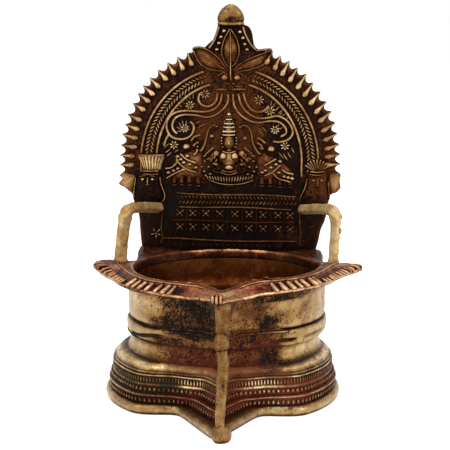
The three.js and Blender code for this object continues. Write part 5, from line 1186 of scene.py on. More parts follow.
neck_pellets = pellets([
    (-3.3, 176.3), (-4.9, 173.3), (-5.9, 170.2), (-6.9, 166.9), (4.9, 175.8), (6.4, 172.8), (7.4, 169.7),
    (8.5, 166.9),
], 1.2, 1.6)
lay("crest_neck", joined(neck, *neck_cords, neck_pellets), RELIEF, "finial_neck")

# %% [markdown]
# The bud is a flattened onion on a ring. Metal hollowed as it cooled left a dent low on its front, and it is
# darkened with painted shade.

# %% Crest bud
bud_z = np.array([179.2, 179.6, 180.2, 180.8, 181.4, 182.6, 184.0, 185.6, 187.1, 188.3, 189.2, 189.9])
bud_w = np.array([6.3, 6.9, 6.9, 6.4, 6.8, 6.9, 6.6, 5.9, 4.9, 3.7, 2.4, 0.9])
rows = curve_through(np.column_stack([bud_z, bud_w]), count=44)
turn = np.linspace(0, TAU, 72, endpoint=False)
half_w = rows[:, 1:] * np.ones(72)
half_d = np.minimum(rows[:, 1:] * 0.55, 3.2) * np.ones(72)
bud_y = (PLATE_FRONT + PLATE_BACK) / 2
skin = np.stack([ARCH_X + 0.5 + half_w * np.cos(turn), bud_y + half_d * np.sin(turn),
    np.broadcast_to(rows[:, :1], half_w.shape)], 2)
hollow = np.exp(-(((skin[..., 0] - 0.3) / 3.0) ** 2) - ((skin[..., 2] - 182.2) / 1.4) ** 2) * (
    skin[..., 1] < bud_y)
skin[..., 1] += 0.9 * hollow
skin[..., 1] += wobble(skin, 6, 60) * 0.12
n = len(turn)
caps = [np.arange(n)[None, ::-1], np.arange(n)[None] + (len(rows) - 1) * n]
bud_rub = np.interp(rows[:, :1], [179.2, 179.8, 180.5, 181, 182.4, 190], [0.3, 0.8, 0.75, 0.3, 0.62, 0.8])
# Painted shade: the dent is darkened by lowering its rub value.
bud_rub = bud_rub * (1 - 0.95 * hollow)
bud = closed(skin.reshape(-1, 3), [grid_faces(len(rows), n), *caps], bud_rub.ravel())
lay("crest_bud", bud, POLISHED, "finial_knob")

# %% [markdown]
# A leaf is a low dome of sheet wax with a thread laid round its edge and another along its middle as the
# vein. The middle leaf stands upright, and its vein runs on down over the mask as a nose. The side leaves
# lie over the arch.

# %% Crest leaves
def leaf(one_edge, other_edge, height=0.9, edge=0.55, vein=0.5, edge_rise=1.4):
    """A leaf between its edges e1 and e2: a dome over their outline, a thread on each edge, and a vein on
    their mean, (e1 + e2) / 2."""
    one, other = curve_through(one_edge, count=30), curve_through(other_edge, count=30)
    outline = np.vstack([one, other[-2:0:-1]])
    middle = (one + other) / 2
    parts = [
        dome(outline, height, fullness=2, rub=(0.4, 0.74)),
        plate_cord(one, edge, edge_rise, ends=0.5, rub=0.68),
        plate_cord(other, edge, edge_rise, ends=0.5, rub=0.68),
    ]
    if vein:
        parts.append(plate_cord(middle[2:-3], vein, height + 0.55, ends=0.8, tapers=(1.1, 0.5)))
    return joined(*parts)


lay("crest_leaf_middle", joined(
    leaf([(-0.2, 157.4), (-3.0, 160.6), (-4.5, 166), (-3.2, 172), (-0.1, 177.7)],
        [(-0.2, 157.4), (2.9, 160.6), (4.5, 166), (3.3, 172), (-0.1, 177.7)], 1.1, 0.62, 0.6, 1.6),
    plate_cord([(-0.1, 176.6), (0.1, 168.0), (0.1, 158.6), (0.1, 154), (0.3, 150.6)], 0.65, 2.4,
        tapers=(0.6, 1.2), rub=0.98),
    petals([(0.3, 150.2)], 0, 1.7, 0.6, 2.2),
), RELIEF, "centre_finial_leaf")
lay("crest_leaf_left", leaf(
    [(-0.8, 156.3), (-2.6, 158.0), (-6.3, 162.7), (-11.5, 166.6), (-15.8, 167.9), (-19.4, 167.5)],
    [(-0.8, 156.3), (-3.6, 155.9), (-8.0, 156.3), (-12.8, 157.7), (-16.4, 160.9), (-19.4, 167.5)],
    0.9, 0.6, 0.55, 1.3), RELIEF, "left_finial_leaf")
lay("crest_leaf_right", joined(
    leaf([(1.0, 156.2), (3.1, 157.9), (6.6, 160.7), (11.8, 163.1), (17, 165.0), (21.3, 166.6)],
        [(1.0, 156.2), (5.8, 155.9), (11.8, 157.2), (17.0, 159.5), (20.2, 163.0), (21.3, 166.6)],
        0.9, 0.6, 0.55, 1.3),
    plate_cord([(12.8, 166.2), (17.4, 166.8), (21.2, 167.0)], 0.6, 1.3),
), RELIEF, "right_finial_leaf")

# %% [markdown]
# A small mask looks out under the leaves, as on the top of many temple arches: two round eyes under heavy
# brows, nostrils and lips.

# %% Mask
brow = np.radians(np.linspace(25, 185, 14))
mask_parts = [
    dome(np.column_stack([7.6 * np.cos(np.linspace(0, TAU, 40)[:-1]) + 0.2,
        149.6 + 4.6 * np.sin(np.linspace(0, TAU, 40)[:-1])]), 0.9, rub=(0.05, 0.35)),
    pellets([(-2.9, 152.7), (3.4, 152.7)], 1.95, 2.3, proud=0.6, rub=1.2),
    plate_cord(np.column_stack([-3.4 + 2.7 * np.cos(brow), 152.6 + 2.5 * np.sin(brow)]), 0.5, 1.6,
        proud=0.3),
    plate_cord(np.column_stack([3.9 - 2.7 * np.cos(brow), 152.6 + 2.5 * np.sin(brow)]), 0.5, 1.6, proud=0.3),
    petals([(-1.0, 149.5), (1.4, 149.5)], [20, 160], 1.1, 0.7, 1.2, proud=0.7),
    petals([(-4.4, 146.5), (4.4, 146.6)], [0, 0], [3.2, 3.9], 0.9, 1.2, proud=0.4, rub=0.95),
    petals([(4.6, 147.9)], [0], [2.4], 0.9, 1.0, proud=0.3, rub=0.7),
]
lay("crest_mask", joined(*mask_parts), RELIEF, "lion_mask")

# %% [markdown]
# The field of the arch is drawn in thread: three stems leave the mask on each side and roll into spirals,
# with star flowers and fans of strokes between them. The left and the right half aren't copies of each
# other, so both are given.

# %% Vines
LEFT_VINES = [
    [
        (-1.2, 144.6), (-1.3, 140.3), (-3.6, 136.6), (-8.0, 133.3), (-12.4, 132.2), (-18.4, 133.3),
        (-24.3, 133.4), (-28.4, 131.8), (-30.1, 128.4), (-29.5, 125.5), (-27.3, 123.4),
    ],
    [
        (-4.2, 144.8), (-5.4, 139.6), (-8.7, 136.3), (-13.9, 135.0), (-22.8, 135.5), (-28.7, 134.4),
        (-32.1, 131.4), (-33.1, 127.7), (-31.9, 123.6), (-28.8, 121.2), (-24.3, 120.8), (-20.6, 122.5),
        (-19.0, 125.9), (-19.3, 128.5), (-21.3, 130.3),
    ],
    [
        (-6.6, 145.4), (-7.2, 141.1), (-9.5, 138.5), (-12.4, 137.7), (-15.4, 139.2), (-16.5, 141.8),
        (-15.7, 144.3), (-13.9, 145.3),
    ],
    [(-31.2, 124.2), (-33.4, 120.6), (-34.6, 116.8)],
]
RIGHT_VINES = [
    [
        (1.3, 144.8), (1.8, 139), (4.4, 134.4), (9.1, 130.8), (14.3, 129.5), (20.5, 130.3), (25.1, 129.8),
        (28.2, 127.2), (28.8, 124.1), (25.7, 122),
    ],
    [
        (3.9, 144.8), (5.5, 139), (8.6, 134.9), (13.2, 132.1), (18.4, 131.8), (24.1, 132.9), (28.7, 130.9),
        (31.8, 126.7), (31.9, 123.1), (29.3, 120.5), (25.2, 119.4), (21.6, 119.9),
    ],
    [(6.5, 145.4), (8, 140.1), (10.6, 136.5), (14.2, 134.9), (17.9, 136), (20.0, 138.6)],
]
LEFT_STROKES = [  # x, z, angle, half length: fans of rays between the stems
    (-24.6, 140.6, 118, 2.6), (-22.9, 142.2, 108, 2.9), (-21.0, 143.2, 98, 3.0), (-19.2, 143.6, 88, 2.8),
    (-26.2, 138.4, 132, 2.2), (-27.6, 136.9, 150, 1.8), (-26.0, 128.2, 120, 1.9), (-24.6, 128.9, 100, 2.1),
    (-23.0, 128.9, 80, 2.0), (-26.6, 126.4, 150, 1.8), (-26.4, 124.9, 180, 1.6), (-15.4, 127.6, 35, 3.0),
    (-14.6, 125.2, 42, 3.2), (-12.9, 128.6, 30, 2.8), (-32.6, 114.6, 35, 2.2), (-33.4, 117.2, 40, 2.2),
    (-34.4, 119.4, 48, 1.8), (-31.9, 112.9, 40, 1.9), (-28.0, 114.6, 38, 1.4), (-16.8, 129.6, 28, 2.2),
]
RIGHT_STROKES = [
    (22.4, 138.4, 62, 2.4), (24.2, 136.8, 50, 2.6), (25.9, 135.2, 42, 2.6), (27.6, 133.6, 36, 2.2),
    (29.2, 131.8, 28, 1.8), (21.0, 139.4, 78, 2.2), (24.8, 128.2, 62, 1.8), (26.2, 126.6, 30, 1.8),
    (14.6, 126.6, 145, 2.8), (15.6, 124.4, 140, 2.8), (13.8, 128.4, 150, 2.4), (17.6, 126.0, 130, 2.2),
    (26.4, 112.4, 128, 2.4), (28.6, 111.6, 124, 2.4), (30.6, 112.6, 120, 2.2), (32.4, 115.2, 118, 2.0),
    (26.0, 133.9, 60, 1.6), (16.4, 129.0, 160, 1.6),
]
for word, vines, strokes in (("left", LEFT_VINES, LEFT_STROKES), ("right", RIGHT_VINES, RIGHT_STROKES)):
    stems = [plate_cord(v, 0.92, 1.5, ends=0.8, rub=0.88) for v in vines]
    s = np.array(strokes)
    rays = petals(s[:, :2], s[:, 2], s[:, 3], 0.48, 0.85, rings=6, sides=6, rub=0.9)
    lay(f"{word}_vines", joined(*stems, rays), RELIEF, f"{word}_scroll_vines")

# %% [markdown]
# A star flower is a ring of petals round a pellet. There are four on each side. The lowest one has seven
# petals, and it is laid together with the one above it.

# %% Star flowers
STARS = {
    "left": [(-13.1, 144.1, 2.7), (-20.9, 138.4, 2.5), (-23.6, 126.5, 2.5)],
    "right": [(14.7, 141.1, 2.8), (20.4, 135.5, 2.8), (23.1, 125.7, 2.5)],
}
LOW_STARS = {"left": (-29.3, 117.7, 2.4), "right": (28.3, 117.4, 2.5)}


def star(x, z, reach, count=8, turn=11):
    """A flower of petals round a pellet."""
    angle = turn + np.arange(count) * 360 / count
    a = np.radians(angle)
    xz = np.column_stack([x + reach * 0.58 * np.cos(a), z + reach * 0.58 * np.sin(a)])
    return joined(petals(xz, angle, reach * 0.5, 0.5, 1.2, taper=-0.3, rings=5, sides=6, rub=1.2),
        pellets([(x, z)], 0.7, 1.4, rings=5, rub=1.2))


for word in ("left", "right"):
    for k, place in enumerate(STARS[word]):
        flower = star(*place, turn=11 + 7 * k)
        if k == 2:
            flower = joined(flower, star(*LOW_STARS[word], count=7))
        lay(f"{word}_star_{k + 1}", flower, RELIEF, f"{word}_star_flower_{k + 1}")

# %% [markdown]
# The seated figure is built up from rolled wax: an egg for the head, a cushion for the body, rolls for arms
# and legs, pellets for breasts and belly, and cut strokes for collar and lotus. The face is a plain calm
# one on the usual proportions: eyes half way down the head, nose to three quarters, lips below.

# %% Seated figure
BODY_X = -0.7


def lump(x, z, half_x, half_z, height, proud=0.0, rub=0.9):
    """An egg pressed on the plate, upright, so that its poles lie above and below."""
    return swellings(on_plate([(x, z)], proud), (0, 0, 1), (1, 0, 0), (0, -1, 0), half_z, half_x, height,
        rings=10, sides=18, rub=rub)


def mirrored(*pieces_of_side):
    """The same thing made once for each side of the figure's middle: a function of the side, -1 and 1."""
    return [make(side) for make in pieces_of_side for side in (-1, 1)]


HEAD_Z, HEAD_HALF_Z, HEAD_HALF_X = 119.4, 4.3, 3.5
figure_parts = [
    lump(BODY_X, 111.6, 6.6, 4.6, 2.2, rub=0.82), lump(BODY_X, 108.4, 3.6, 2.9, 2.2, rub=0.72),
    lump(BODY_X, 115.2, 1.8, 1.6, 2.4, rub=0.75),
    lump(BODY_X, HEAD_Z, HEAD_HALF_X, HEAD_HALF_Z, 3.0, 0.6, rub=0.66),
    lump(BODY_X, 106.2, 2.7, 1.5, 1.7, 1.7, rub=0.9), lump(BODY_X, 119.0, 0.5, 1.2, 0.9, 3.3, rub=1.1),
    petals([(BODY_X, 117.1), (BODY_X, 116.6)], [0, 0], [0.95, 0.75], [0.22, 0.24], 0.5, proud=2.95, rub=1.0),
    plate_cord([
        (BODY_X - 3.6, 114.9), (BODY_X - 1.6, 114.1), (BODY_X, 113.9), (BODY_X + 1.6, 114.1),
        (BODY_X + 3.6, 114.9),
    ], 0.45, 0.7, proud=2.0, rub=0.95),
    plate_cord([
        (BODY_X - 4.6, 103.9), (BODY_X - 2, 102.8), (BODY_X, 102.5), (BODY_X + 2, 102.8),
        (BODY_X + 4.6, 103.9),
    ], 0.45, 1.1, proud=0.6, rub=0.75),
    plate_cord([
        (BODY_X - 4.0, 105.0), (BODY_X - 2.2, 104.2), (BODY_X, 103.9), (BODY_X + 2.2, 104.2),
        (BODY_X + 4.0, 105.0),
    ], 0.42, 1.0, proud=0.8, rub=0.75),
]
figure_parts += mirrored(
    lambda s: lump(BODY_X + s * 2.95, 112.0, 2.3, 2.2, 2.0, 1.4, rub=0.95),
    lambda s: lump(BODY_X + s * 6.6, 113.2, 2.6, 2.0, 2.2, 0.3, rub=0.8),
    lambda s: petals([(BODY_X + s * 1.3, 119.7)], [s * 6], 0.7, 0.28, 0.5, proud=3.15, rub=1.0),
    lambda s: plate_cord([(BODY_X + s * 0.5, 120.5), (BODY_X + s * 1.2, 120.9), (BODY_X + s * 2.2, 120.6)],
        0.2, 0.5, proud=2.95, sides=6, spacing=0.3),
    lambda s: pellets([(BODY_X + s * 3.7, 121.6), (BODY_X + s * 3.8, 120.1), (BODY_X + s * 3.7, 118.6),
        (BODY_X + s * 3.2, 117.0)], 0.72, 1.4, proud=0.8, rings=5),
    lambda s: plate_cord([(BODY_X + s * 5.8, 113.8), (BODY_X + s * 7.8, 112.0), (BODY_X + s * 9.4, 109.8),
        (BODY_X + s * 8.8, 108.4)], 1.9, 2.2, tapers=(1.0, 0.8), rub=0.72),
    lambda s: plate_cord([(BODY_X + s * 8.9, 108.8), (BODY_X + s * 7.0, 107.8), (BODY_X + s * 5.2, 107.8)],
        1.3, 1.8, rub=0.66),
    lambda s: plate_cord([(BODY_X + s * 2.6, 103.2), (BODY_X + s * 6.0, 103.4), (BODY_X + s * 8.4, 104.8),
        (BODY_X + s * 6.2, 105.8)], 1.1, 1.3, tapers=(0.6, 0.9), rub=0.38),
)
for s in (-1, 1):
    hand = np.array([
        (10.0, 114.9, 148), (11.4, 113.7, 150), (12.6, 112.3, 152), (8.8, 116.0, 140), (7.4, 111.6, 118),
        (8.8, 112.6, 122), (6.6, 109.8, 112), (10.6, 110.8, 145),
    ])
    figure_parts.append(petals(np.column_stack([BODY_X + s * hand[:, 0], hand[:, 1]]),
        np.where(s > 0, hand[:, 2], 180 - hand[:, 2]), 1.5, 0.42, 1.1,
        proud=[0.2] * 4 + [1.6] * 2 + [1.0, 0.6], rings=5, sides=6, rub=1.0))
    dots = np.array([
        (12.6, 109.4), (14.4, 106.4), (10.6, 106.4), (13.0, 104.0), (9.8, 102.6), (12.2, 101.8),
        (15.6, 103.2),
    ])
    figure_parts.append(pellets(np.column_stack([BODY_X + s * dots[:, 0], dots[:, 1]]), 0.95, 1.2, rings=5,
        rub=0.75))
lay("seated_figure_form", joined(*figure_parts), RELIEF, "seated_figure", clean=0.6)

# %% [markdown]
# The crown is tall and tapers in tiers. Each tier is a bent thread with a row of beads on it.

# %% Tall crown
tiers = [(123.4, 3.6, 0.62), (125.2, 3.75, 0.78), (127.4, 3.35, 0.72), (129.3, 2.95, 0.7), (131.5, 2.1, 0.6)]
crown_parts = [
    lump(BODY_X, 126.0, 3.5, 4.2, 2.6, rub=0.7), lump(BODY_X, 129.6, 2.5, 3.6, 2.2, rub=0.7),
    pellets([(BODY_X, 133.7)], 1.35, 2.0, rings=8, sides=12, rub=1.1),
    petals([(BODY_X, 136.2)], [90], 2.3, 0.5, 1.2),
]
for z, half, thick in tiers:
    arc = np.linspace(-1, 1, 9)
    crown_parts.append(plate_cord(np.column_stack([BODY_X + half * arc, z - 0.25 * (1 - arc**2)]), thick, 1.3,
        proud=1.6, ends=0.5, rub=1.05))
    beads = np.linspace(-0.75, 0.75, 4)
    crown_parts.append(petals(np.column_stack([BODY_X + half * beads, np.full(4, z + 1.0)]), 90, 0.55, 0.45,
        0.9, proud=1.8, rings=5, sides=6, rub=0.85))
lay("tiered_crown", joined(*crown_parts), RELIEF, "tall_crown", clean=0.7)

# %% [markdown]
# The seat is a cushion seen from the front, with a rolled edge and a fan of petals cut into it.

# %% Lotus seat
base = curve_through([(-12.6, 100.6), (-7.0, 98.1), (-0.6, 97.2), (6.4, 97.8), (12.4, 99.8)], count=60)
seat_outline = np.vstack([
    base,
    curve_through([(12.4, 99.8), (6.5, 101.9), (-0.7, 102.0), (-7.6, 102.2), (-12.6, 100.6)], count=40)[1:-1],
])
u = np.linspace(-1, 1, 17)
strokes = np.column_stack([-0.5 + 11.3 * u, 99.7 + 1.1 * u**2])
lay("lotus_cushion", joined(
    dome(seat_outline, 0.8, rub=(0.03, 0.1)),
    plate_cord(base, 0.5, 1.2),
    petals(strokes, 90 - 34 * u, 2.1 - 0.9 * u**2, 0.4, 1.3, proud=0.3, rings=6, sides=6, rub=1.0),
), RELIEF, "lotus_seat")

# %% [markdown]
# Two elephants with raised trunks flank the figure, with beaded cloths and straps over their backs, and a
# hanging drop beside each trunk. They face each other but were drawn freely, so each has its own lines.

# %% Elephants
LEFT_ELEPHANT = {
    "body": [
        (-15.6, 113.5), (-17.9, 115.1), (-20.5, 114.6), (-24.2, 113), (-28.4, 109.8), (-30.9, 105.6),
        (-30.6, 100.4), (-28.6, 98.9), (-23.2, 99.9), (-17.6, 98.9), (-15.2, 100.4), (-15.0, 106.6),
    ],
    "trunk": [
        (-7, 127.4), (-8.4, 128.2), (-9.8, 127.6), (-11.6, 125), (-12.7, 120.3), (-14.3, 116.2),
        (-16.2, 114.2),
    ],
    "ears": [
        [(-20.5, 119.3), (-18.9, 121.9), (-16.3, 122.9), (-14.8, 122.9)],
        [(-19.5, 116.7), (-17.9, 118.7), (-15.8, 119.3)],
    ],
    "straps": [
        [(-34.1, 105.6), (-30.5, 106.1), (-27.3, 109.3), (-28.3, 111.2)],
        [(-33.6, 100.3), (-28.9, 103), (-24.2, 105.1)],
        [(-28.4, 110.3), (-24.7, 106.7), (-21.1, 104.6), (-16.9, 103.6)],
        [(-26.2, 113.5), (-22.6, 110.4), (-17.4, 108.3)], [(-19.4, 112.4), (-17.6, 114.0), (-17.0, 116.2)],
    ],
    "beads": [
        (-27.3, 111.9), (-25.7, 110.4), (-24.2, 108.8), (-21.1, 107.8), (-17.9, 106.2), (-32.1, 103.5),
        (-29.4, 104.6), (-27.3, 105.6), (-22.4, 112.2), (-24.4, 105.0),
    ],
    "feet": [(-29.2, 96.7), (-25.4, 96.9), (-21.4, 96.7), (-16.8, 96.4)],
    "drop": (-9.6, 122.4), "boss": (-22.8, 116.9), "eye": (-17.0, 117.0),
}
RIGHT_ELEPHANT = {
    "body": [
        (14.3, 113.2), (17.4, 114.2), (19.5, 112.6), (23.7, 110.5), (28.9, 107.0), (32.3, 102.7),
        (32.6, 98.6), (28.4, 98.4), (24.0, 99.8), (18.6, 98.4), (15.6, 98.6), (14.4, 105),
    ],
    "trunk": [
        (4.9, 127.0), (6.6, 128.0), (8.6, 127.7), (10.7, 124.6), (11.7, 118.9), (14.3, 114.2), (16.0, 113.0),
    ],
    "ears": [[(13.3, 122), (16.4, 120.4), (18.5, 118.4)], [(13.3, 119.4), (15.9, 117.8), (16.9, 114.9)]],
    "straps": [
        [(17, 106.9), (20.6, 109), (24.2, 111.1)], [(17, 101.7), (21.7, 103.8), (26.3, 108)],
        [(21.7, 103.8), (24.8, 100.7), (28.4, 99.6), (31.6, 98.6)],
        [(26.3, 105.9), (28.9, 103.8), (33.1, 102.8)],
    ],
    "beads": [
        (23.7, 108), (21.1, 106.4), (18, 104.8), (16.5, 103.8), (25.8, 109.6), (25.3, 103.8), (27.9, 101.7),
        (30, 101.2), (32.0, 100.7),
    ],
    "feet": [(16.5, 96.4), (20.7, 96.4), (25.9, 96.0), (31.2, 95.9)],
    "drop": (7.6, 121.4), "boss": (21.1, 115.8), "eye": (15.6, 116.2),
}


def elephant(way):
    """Body cushion, trunk, ears, straps, beads and feet of one elephant, and the boss and hanging drop beside
    it."""
    trunk = curve_through(way["trunk"], 0.5)
    u = np.linspace(0, 1, len(trunk))
    drop_x, drop_z = way["drop"]
    feet = np.array(way["feet"])
    legs = [plate_cord([(x, z + 5.4), (x - 0.1, z + 3), (x, z + 0.7)], 1.45, 1.6, ends=0.8, rub=0.56)
        for x, z in feet]
    return joined(
        *legs,
        dome(curve_through(way["body"], 0.8, closed_loop=True)[:-1], 1.7, fullness=2.8, rub=(0.48, 0.76)),
        cord(on_plate(trunk), 0.6 + 0.7 * u**2, 1.3 + 0.8 * u**2, rub=0.85),
        pellets([way["trunk"][0]], 0.85, 1.5),
        *[plate_cord(e, 1.0, 1.7, proud=0.3, rub=0.82) for e in way["ears"]],
        *[plate_cord(s, 0.68, 1.1, proud=1.6, rub=0.92) for s in way["straps"]],
        pellets(way["beads"], 1.2, 1.4, proud=1.7, rub=0.98),
        pellets([way["eye"]], 0.7, 1.2, proud=1.4),
        petals(feet + (0, 0.1), 0, 1.5, 0.55, 1.9, proud=0.3, rub=1.1),
        pellets([way["boss"]], 2.1, 1.9, rings=8, sides=14, rub=0.85),
        pellets([(drop_x, drop_z)], 1.45, 1.7, rings=8, sides=12, rub=0.95),
        petals([(drop_x, drop_z + 2.6), (drop_x, drop_z + 3.9), (drop_x, drop_z - 2.3),
            (drop_x, drop_z - 3.4)], 0, [1.0, 0.8, 1.1, 0.7], 0.46, 0.9, rub=0.8),
    )


lay("left_elephant_form", elephant(LEFT_ELEPHANT), RELIEF, "left_elephant")
lay("right_elephant_form", elephant(RIGHT_ELEPHANT), RELIEF, "right_elephant")

# %% [markdown]
# In the two corners of the arch stand guardian heads, dark and worn flat. Their faces are plain and calm,
# with the eyes half way down and the nose and lips below.

# %% Guardian heads
left_head = [
    (-48.8, 104.6), (-49.6, 100), (-50.2, 95), (-50.4, 89.2), (-44, 87.4), (-36.4, 87.8), (-34.8, 91.5),
    (-36.2, 97), (-36.6, 104.6),
]
right_head = [
    (40.2, 103.2), (39.6, 98), (37.6, 92), (36.6, 87.6), (44, 86.8), (51.0, 88.8), (50.8, 95), (50.6, 99),
    (49.8, 103.2),
]
lay("left_guardian_form", joined(
    dome(curve_through(left_head, 0.8, closed_loop=True)[:-1], 2.0, fullness=3.5, rub=(0.02, 0.1)),
    pellets([(-45.7, 99.9), (-40.6, 99.9)], 1.0, 1.5, proud=1.5, rub=1.2),
    petals([(-43.1, 99.0), (-43.1, 97.2)], [90, 0], [2.2, 1.5], [0.75, 0.55], 1.6, taper=[0.4, 0], proud=1.7,
        rub=0.95),
    petals([(-45.6, 101.6), (-40.7, 101.6)], [10, -10], 2.0, 0.5, 1.2, proud=1.6, rub=0.75),
    petals([(-43.1, 94.2), (-43.1, 93.1)], [0, 0], [1.7, 1.2], 0.42, 1.0, proud=1.6, rub=0.55),
    plate_cord([(-36.8, 101.4), (-36.0, 97), (-34.2, 91.2), (-35.8, 87.3)], 0.6, 1.9),
    plate_cord([(-49.4, 100.8), (-50.3, 95), (-50.6, 88.8)], 0.5, 1.4),
), RELIEF, "left_guardian", clean=0.6)
lay("right_guardian_form", joined(
    dome(curve_through(right_head, 0.8, closed_loop=True)[:-1], 2.0, fullness=3.5, rub=(0.02, 0.2)),
    dome(np.column_stack([45.2 + 4.2 * np.cos(np.linspace(0, TAU, 30)[:-1]),
        98.4 + 4.6 * np.sin(np.linspace(0, TAU, 30)[:-1])]), 2.6, rub=(0.1, 0.4)),
    pellets([(43.2, 99.7), (47.3, 99.8)], 0.85, 1.2, proud=2.2, rub=1.15),
    petals([(45.3, 98.9), (45.3, 97.3)], [90, 0], [1.8, 1.2], [0.6, 0.45], 1.4, taper=[0.4, 0], proud=2.2,
        rub=1.0),
    petals([(45.3, 95.6), (45.3, 94.8)], [0, 0], [1.6, 1.1], 0.38, 0.9, proud=1.9, rub=0.8),
    plate_cord([(39.9, 101), (38.9, 96), (36.6, 91), (36.3, 87.8)], 0.55, 1.5),
    plate_cord([(50.8, 99.2), (51.3, 94), (51.4, 89.3)], 0.5, 1.3),
), RELIEF, "right_guardian")

# %% [markdown]
# The left head wears a fluted crown that widens upwards, and the right one a crown of rays. The flutes are
# a wave of 22 round the crown's half circle section.

# %% Guardian crowns
FLUTES = 22
cup_z = np.linspace(104.9, 112.9, 14)
cup_half = np.interp(cup_z, [104.9, 106, 108.5, 111.5, 112.2, 112.9], [4.6, 4.9, 5.5, 6.9, 7.5, 7.3])
turn = np.linspace(0, TAU, 80, endpoint=False)
flutes = 1 + 0.05 * np.cos(FLUTES * turn)[None] * ramp(112.6, 111.6, cup_z)[:, None]
cup_rise = 2.6 * flutes * np.interp(cup_half, [4.6, 7.5], [0.8, 1.2])[:, None]
cup_x = -41.2 + cup_half[:, None] * flutes * np.cos(turn)
cup_y = PLATE_FRONT + 0.4 - cup_rise * np.clip(np.sin(turn), 0, 1)
skin = np.stack([cup_x, cup_y, np.broadcast_to(cup_z[:, None], cup_x.shape)], 2)
caps = [np.arange(80)[None, ::-1], np.arange(80)[None] + 13 * 80]
# The flute ridges are painted brighter and the valleys between them darker: painted highlight and shade on
# top of the rub value.
flute_rub = np.clip(0.75 + 6 * (flutes - 1), 0.3, 1) * np.ones((14, 80))
lay("fluted_crown", joined(
    closed(skin.reshape(-1, 3), [grid_faces(14, 80), *caps], flute_rub.ravel()),
    plate_cord([(-48.4, 112.7), (-41.2, 112.5), (-33.9, 112.7)], 0.7, 3.0),
    plate_cord([(-46.6, 104.4), (-41.5, 104.2), (-36.8, 104.4)], 0.75, 2.6),
    plate_cord([(-46.2, 102.7), (-41.5, 102.5), (-37.0, 102.7)], 0.6, 2.4),
), RELIEF, "left_guardian_crown")

rays = np.radians(np.linspace(32, 148, 9))
lay("ray_crown", joined(
    petals(np.column_stack([45.0 + 4.6 * np.cos(rays), 104.2 + 3.6 * np.sin(rays)]), np.degrees(rays), 3.2,
        0.85, 2.0, taper=-0.2, proud=0.6, rub=1.4),
    plate_cord([(40.9, 104.4), (45.0, 104.0), (49.4, 104.4)], 0.7, 2.4, rub=0.95),
    plate_cord([(40.6, 102.9), (45.0, 102.4), (49.6, 102.9)], 0.55, 2.4, rub=0.8),
), RELIEF, "right_guardian_crown")

# %% [markdown]
# The lower panel hangs like an embroidered cloth: threads as rails, a border of slanting strokes between
# the upper two, two rows of crosses, and a row of dots at the foot.

# %% Rails
def line_between(first, last, **rest):
    """A laid thread that sags a little between its ends, as wax thread does."""
    (x0, z0), (x1, z1) = first, last
    u = np.linspace(0, 1, 7)
    knots = np.column_stack([x0 + (x1 - x0) * u, z0 + (z1 - z0) * u + 0.35 * np.sin(u * 7 + x0)])
    return plate_cord(knots, 0.55, 1.05, **{"rub": 0.8, **rest})


lay("panel_rail_1", line_between((-28.5, 92.6), (34.7, 91.0)), RELIEF, "top_rail")
lay("panel_rail_2", line_between((-27.5, 85.6), (32.2, 84.4)), RELIEF, "middle_rail")
dots_x = np.arange(-29, 31, 3.1)
lay("panel_rail_3", joined(
    line_between((-36.5, 68.5), (35.0, 66.9)),
    pellets(np.column_stack([dots_x, 65.0 - 0.01 * dots_x]), 0.62, 0.8, rub=0.6),
    plate_cord([(-35.4, 83.5), (-36.3, 73.9), (-35.5, 69.6), (-36.7, 65.2)], 0.5, 0.9, rub=0.75),
    plate_cord([(36.0, 84.5), (36.5, 74.0), (36.9, 71.0), (36.2, 66.4), (38.1, 65.0)], 0.5, 0.9, rub=0.75),
    star(-38.9, 71.2, 2.9, count=5, turn=50),
), RELIEF, "bottom_rail")

# %% [markdown]
# Between the upper rails run two rows of slanting strokes that lean against each other, and below them nine
# crosses in each of two rows, with thin lines between them.

# %% Strokes and crosses
step = np.arange(-27.3, 33.4, 2.0)
upper = petals(np.column_stack([step, 90.3 - 0.012 * step]), -52, 1.4, 0.5, 0.85, rings=5, sides=6, rub=0.88)
lower = petals(np.column_stack([step + 0.9, 87.4 - 0.012 * step]), 50, 1.4, 0.5, 0.85, rings=5, sides=6,
    rub=0.88)
lay("stroke_border", joined(upper, lower), RELIEF, "herringbone_border")

CROSS_X = np.array([-26.4, -19.6, -12.8, -5.4, 2.4, 9.8, 17.1, 24.9, 31.2])
crosses = []
for z in (81.6, 74.2):
    for x in CROSS_X:
        drop = -0.02 * x
        arms = np.array([45, 135, 225, 315]) + 6 * math.sin(x + z)
        a = np.radians(arms)
        crosses.append(petals(np.column_stack([x + 1.75 * np.cos(a), z + drop + 1.6 * np.sin(a)]), arms, 1.2,
            0.52, 0.95, taper=0.2, rings=5, sides=6, rub=0.92))
        crosses.append(pellets([(x, z + drop)], 0.8, 1.2, rings=5, rub=1.15))
lines = [line_between((-31, 78.2), (33.5, 77.2), rub=0.6)]
for x in (CROSS_X[:-1] + CROSS_X[1:]) / 2:
    lines.append(plate_cord([(x, 83.6 - 0.02 * x), (x + 0.2, 77.8), (x, 71.4)], 0.4, 0.7, rub=0.52))
lay("cross_rows", joined(*crosses, *lines), RELIEF, "cross_lattice")

# %% [markdown]
# The stage is a white floor under a white sky, as in a photographer's tent. Metal shows what it reflects,
# so glossy rays see the white too. The lamps are large and soft: one from each side in front and one above.

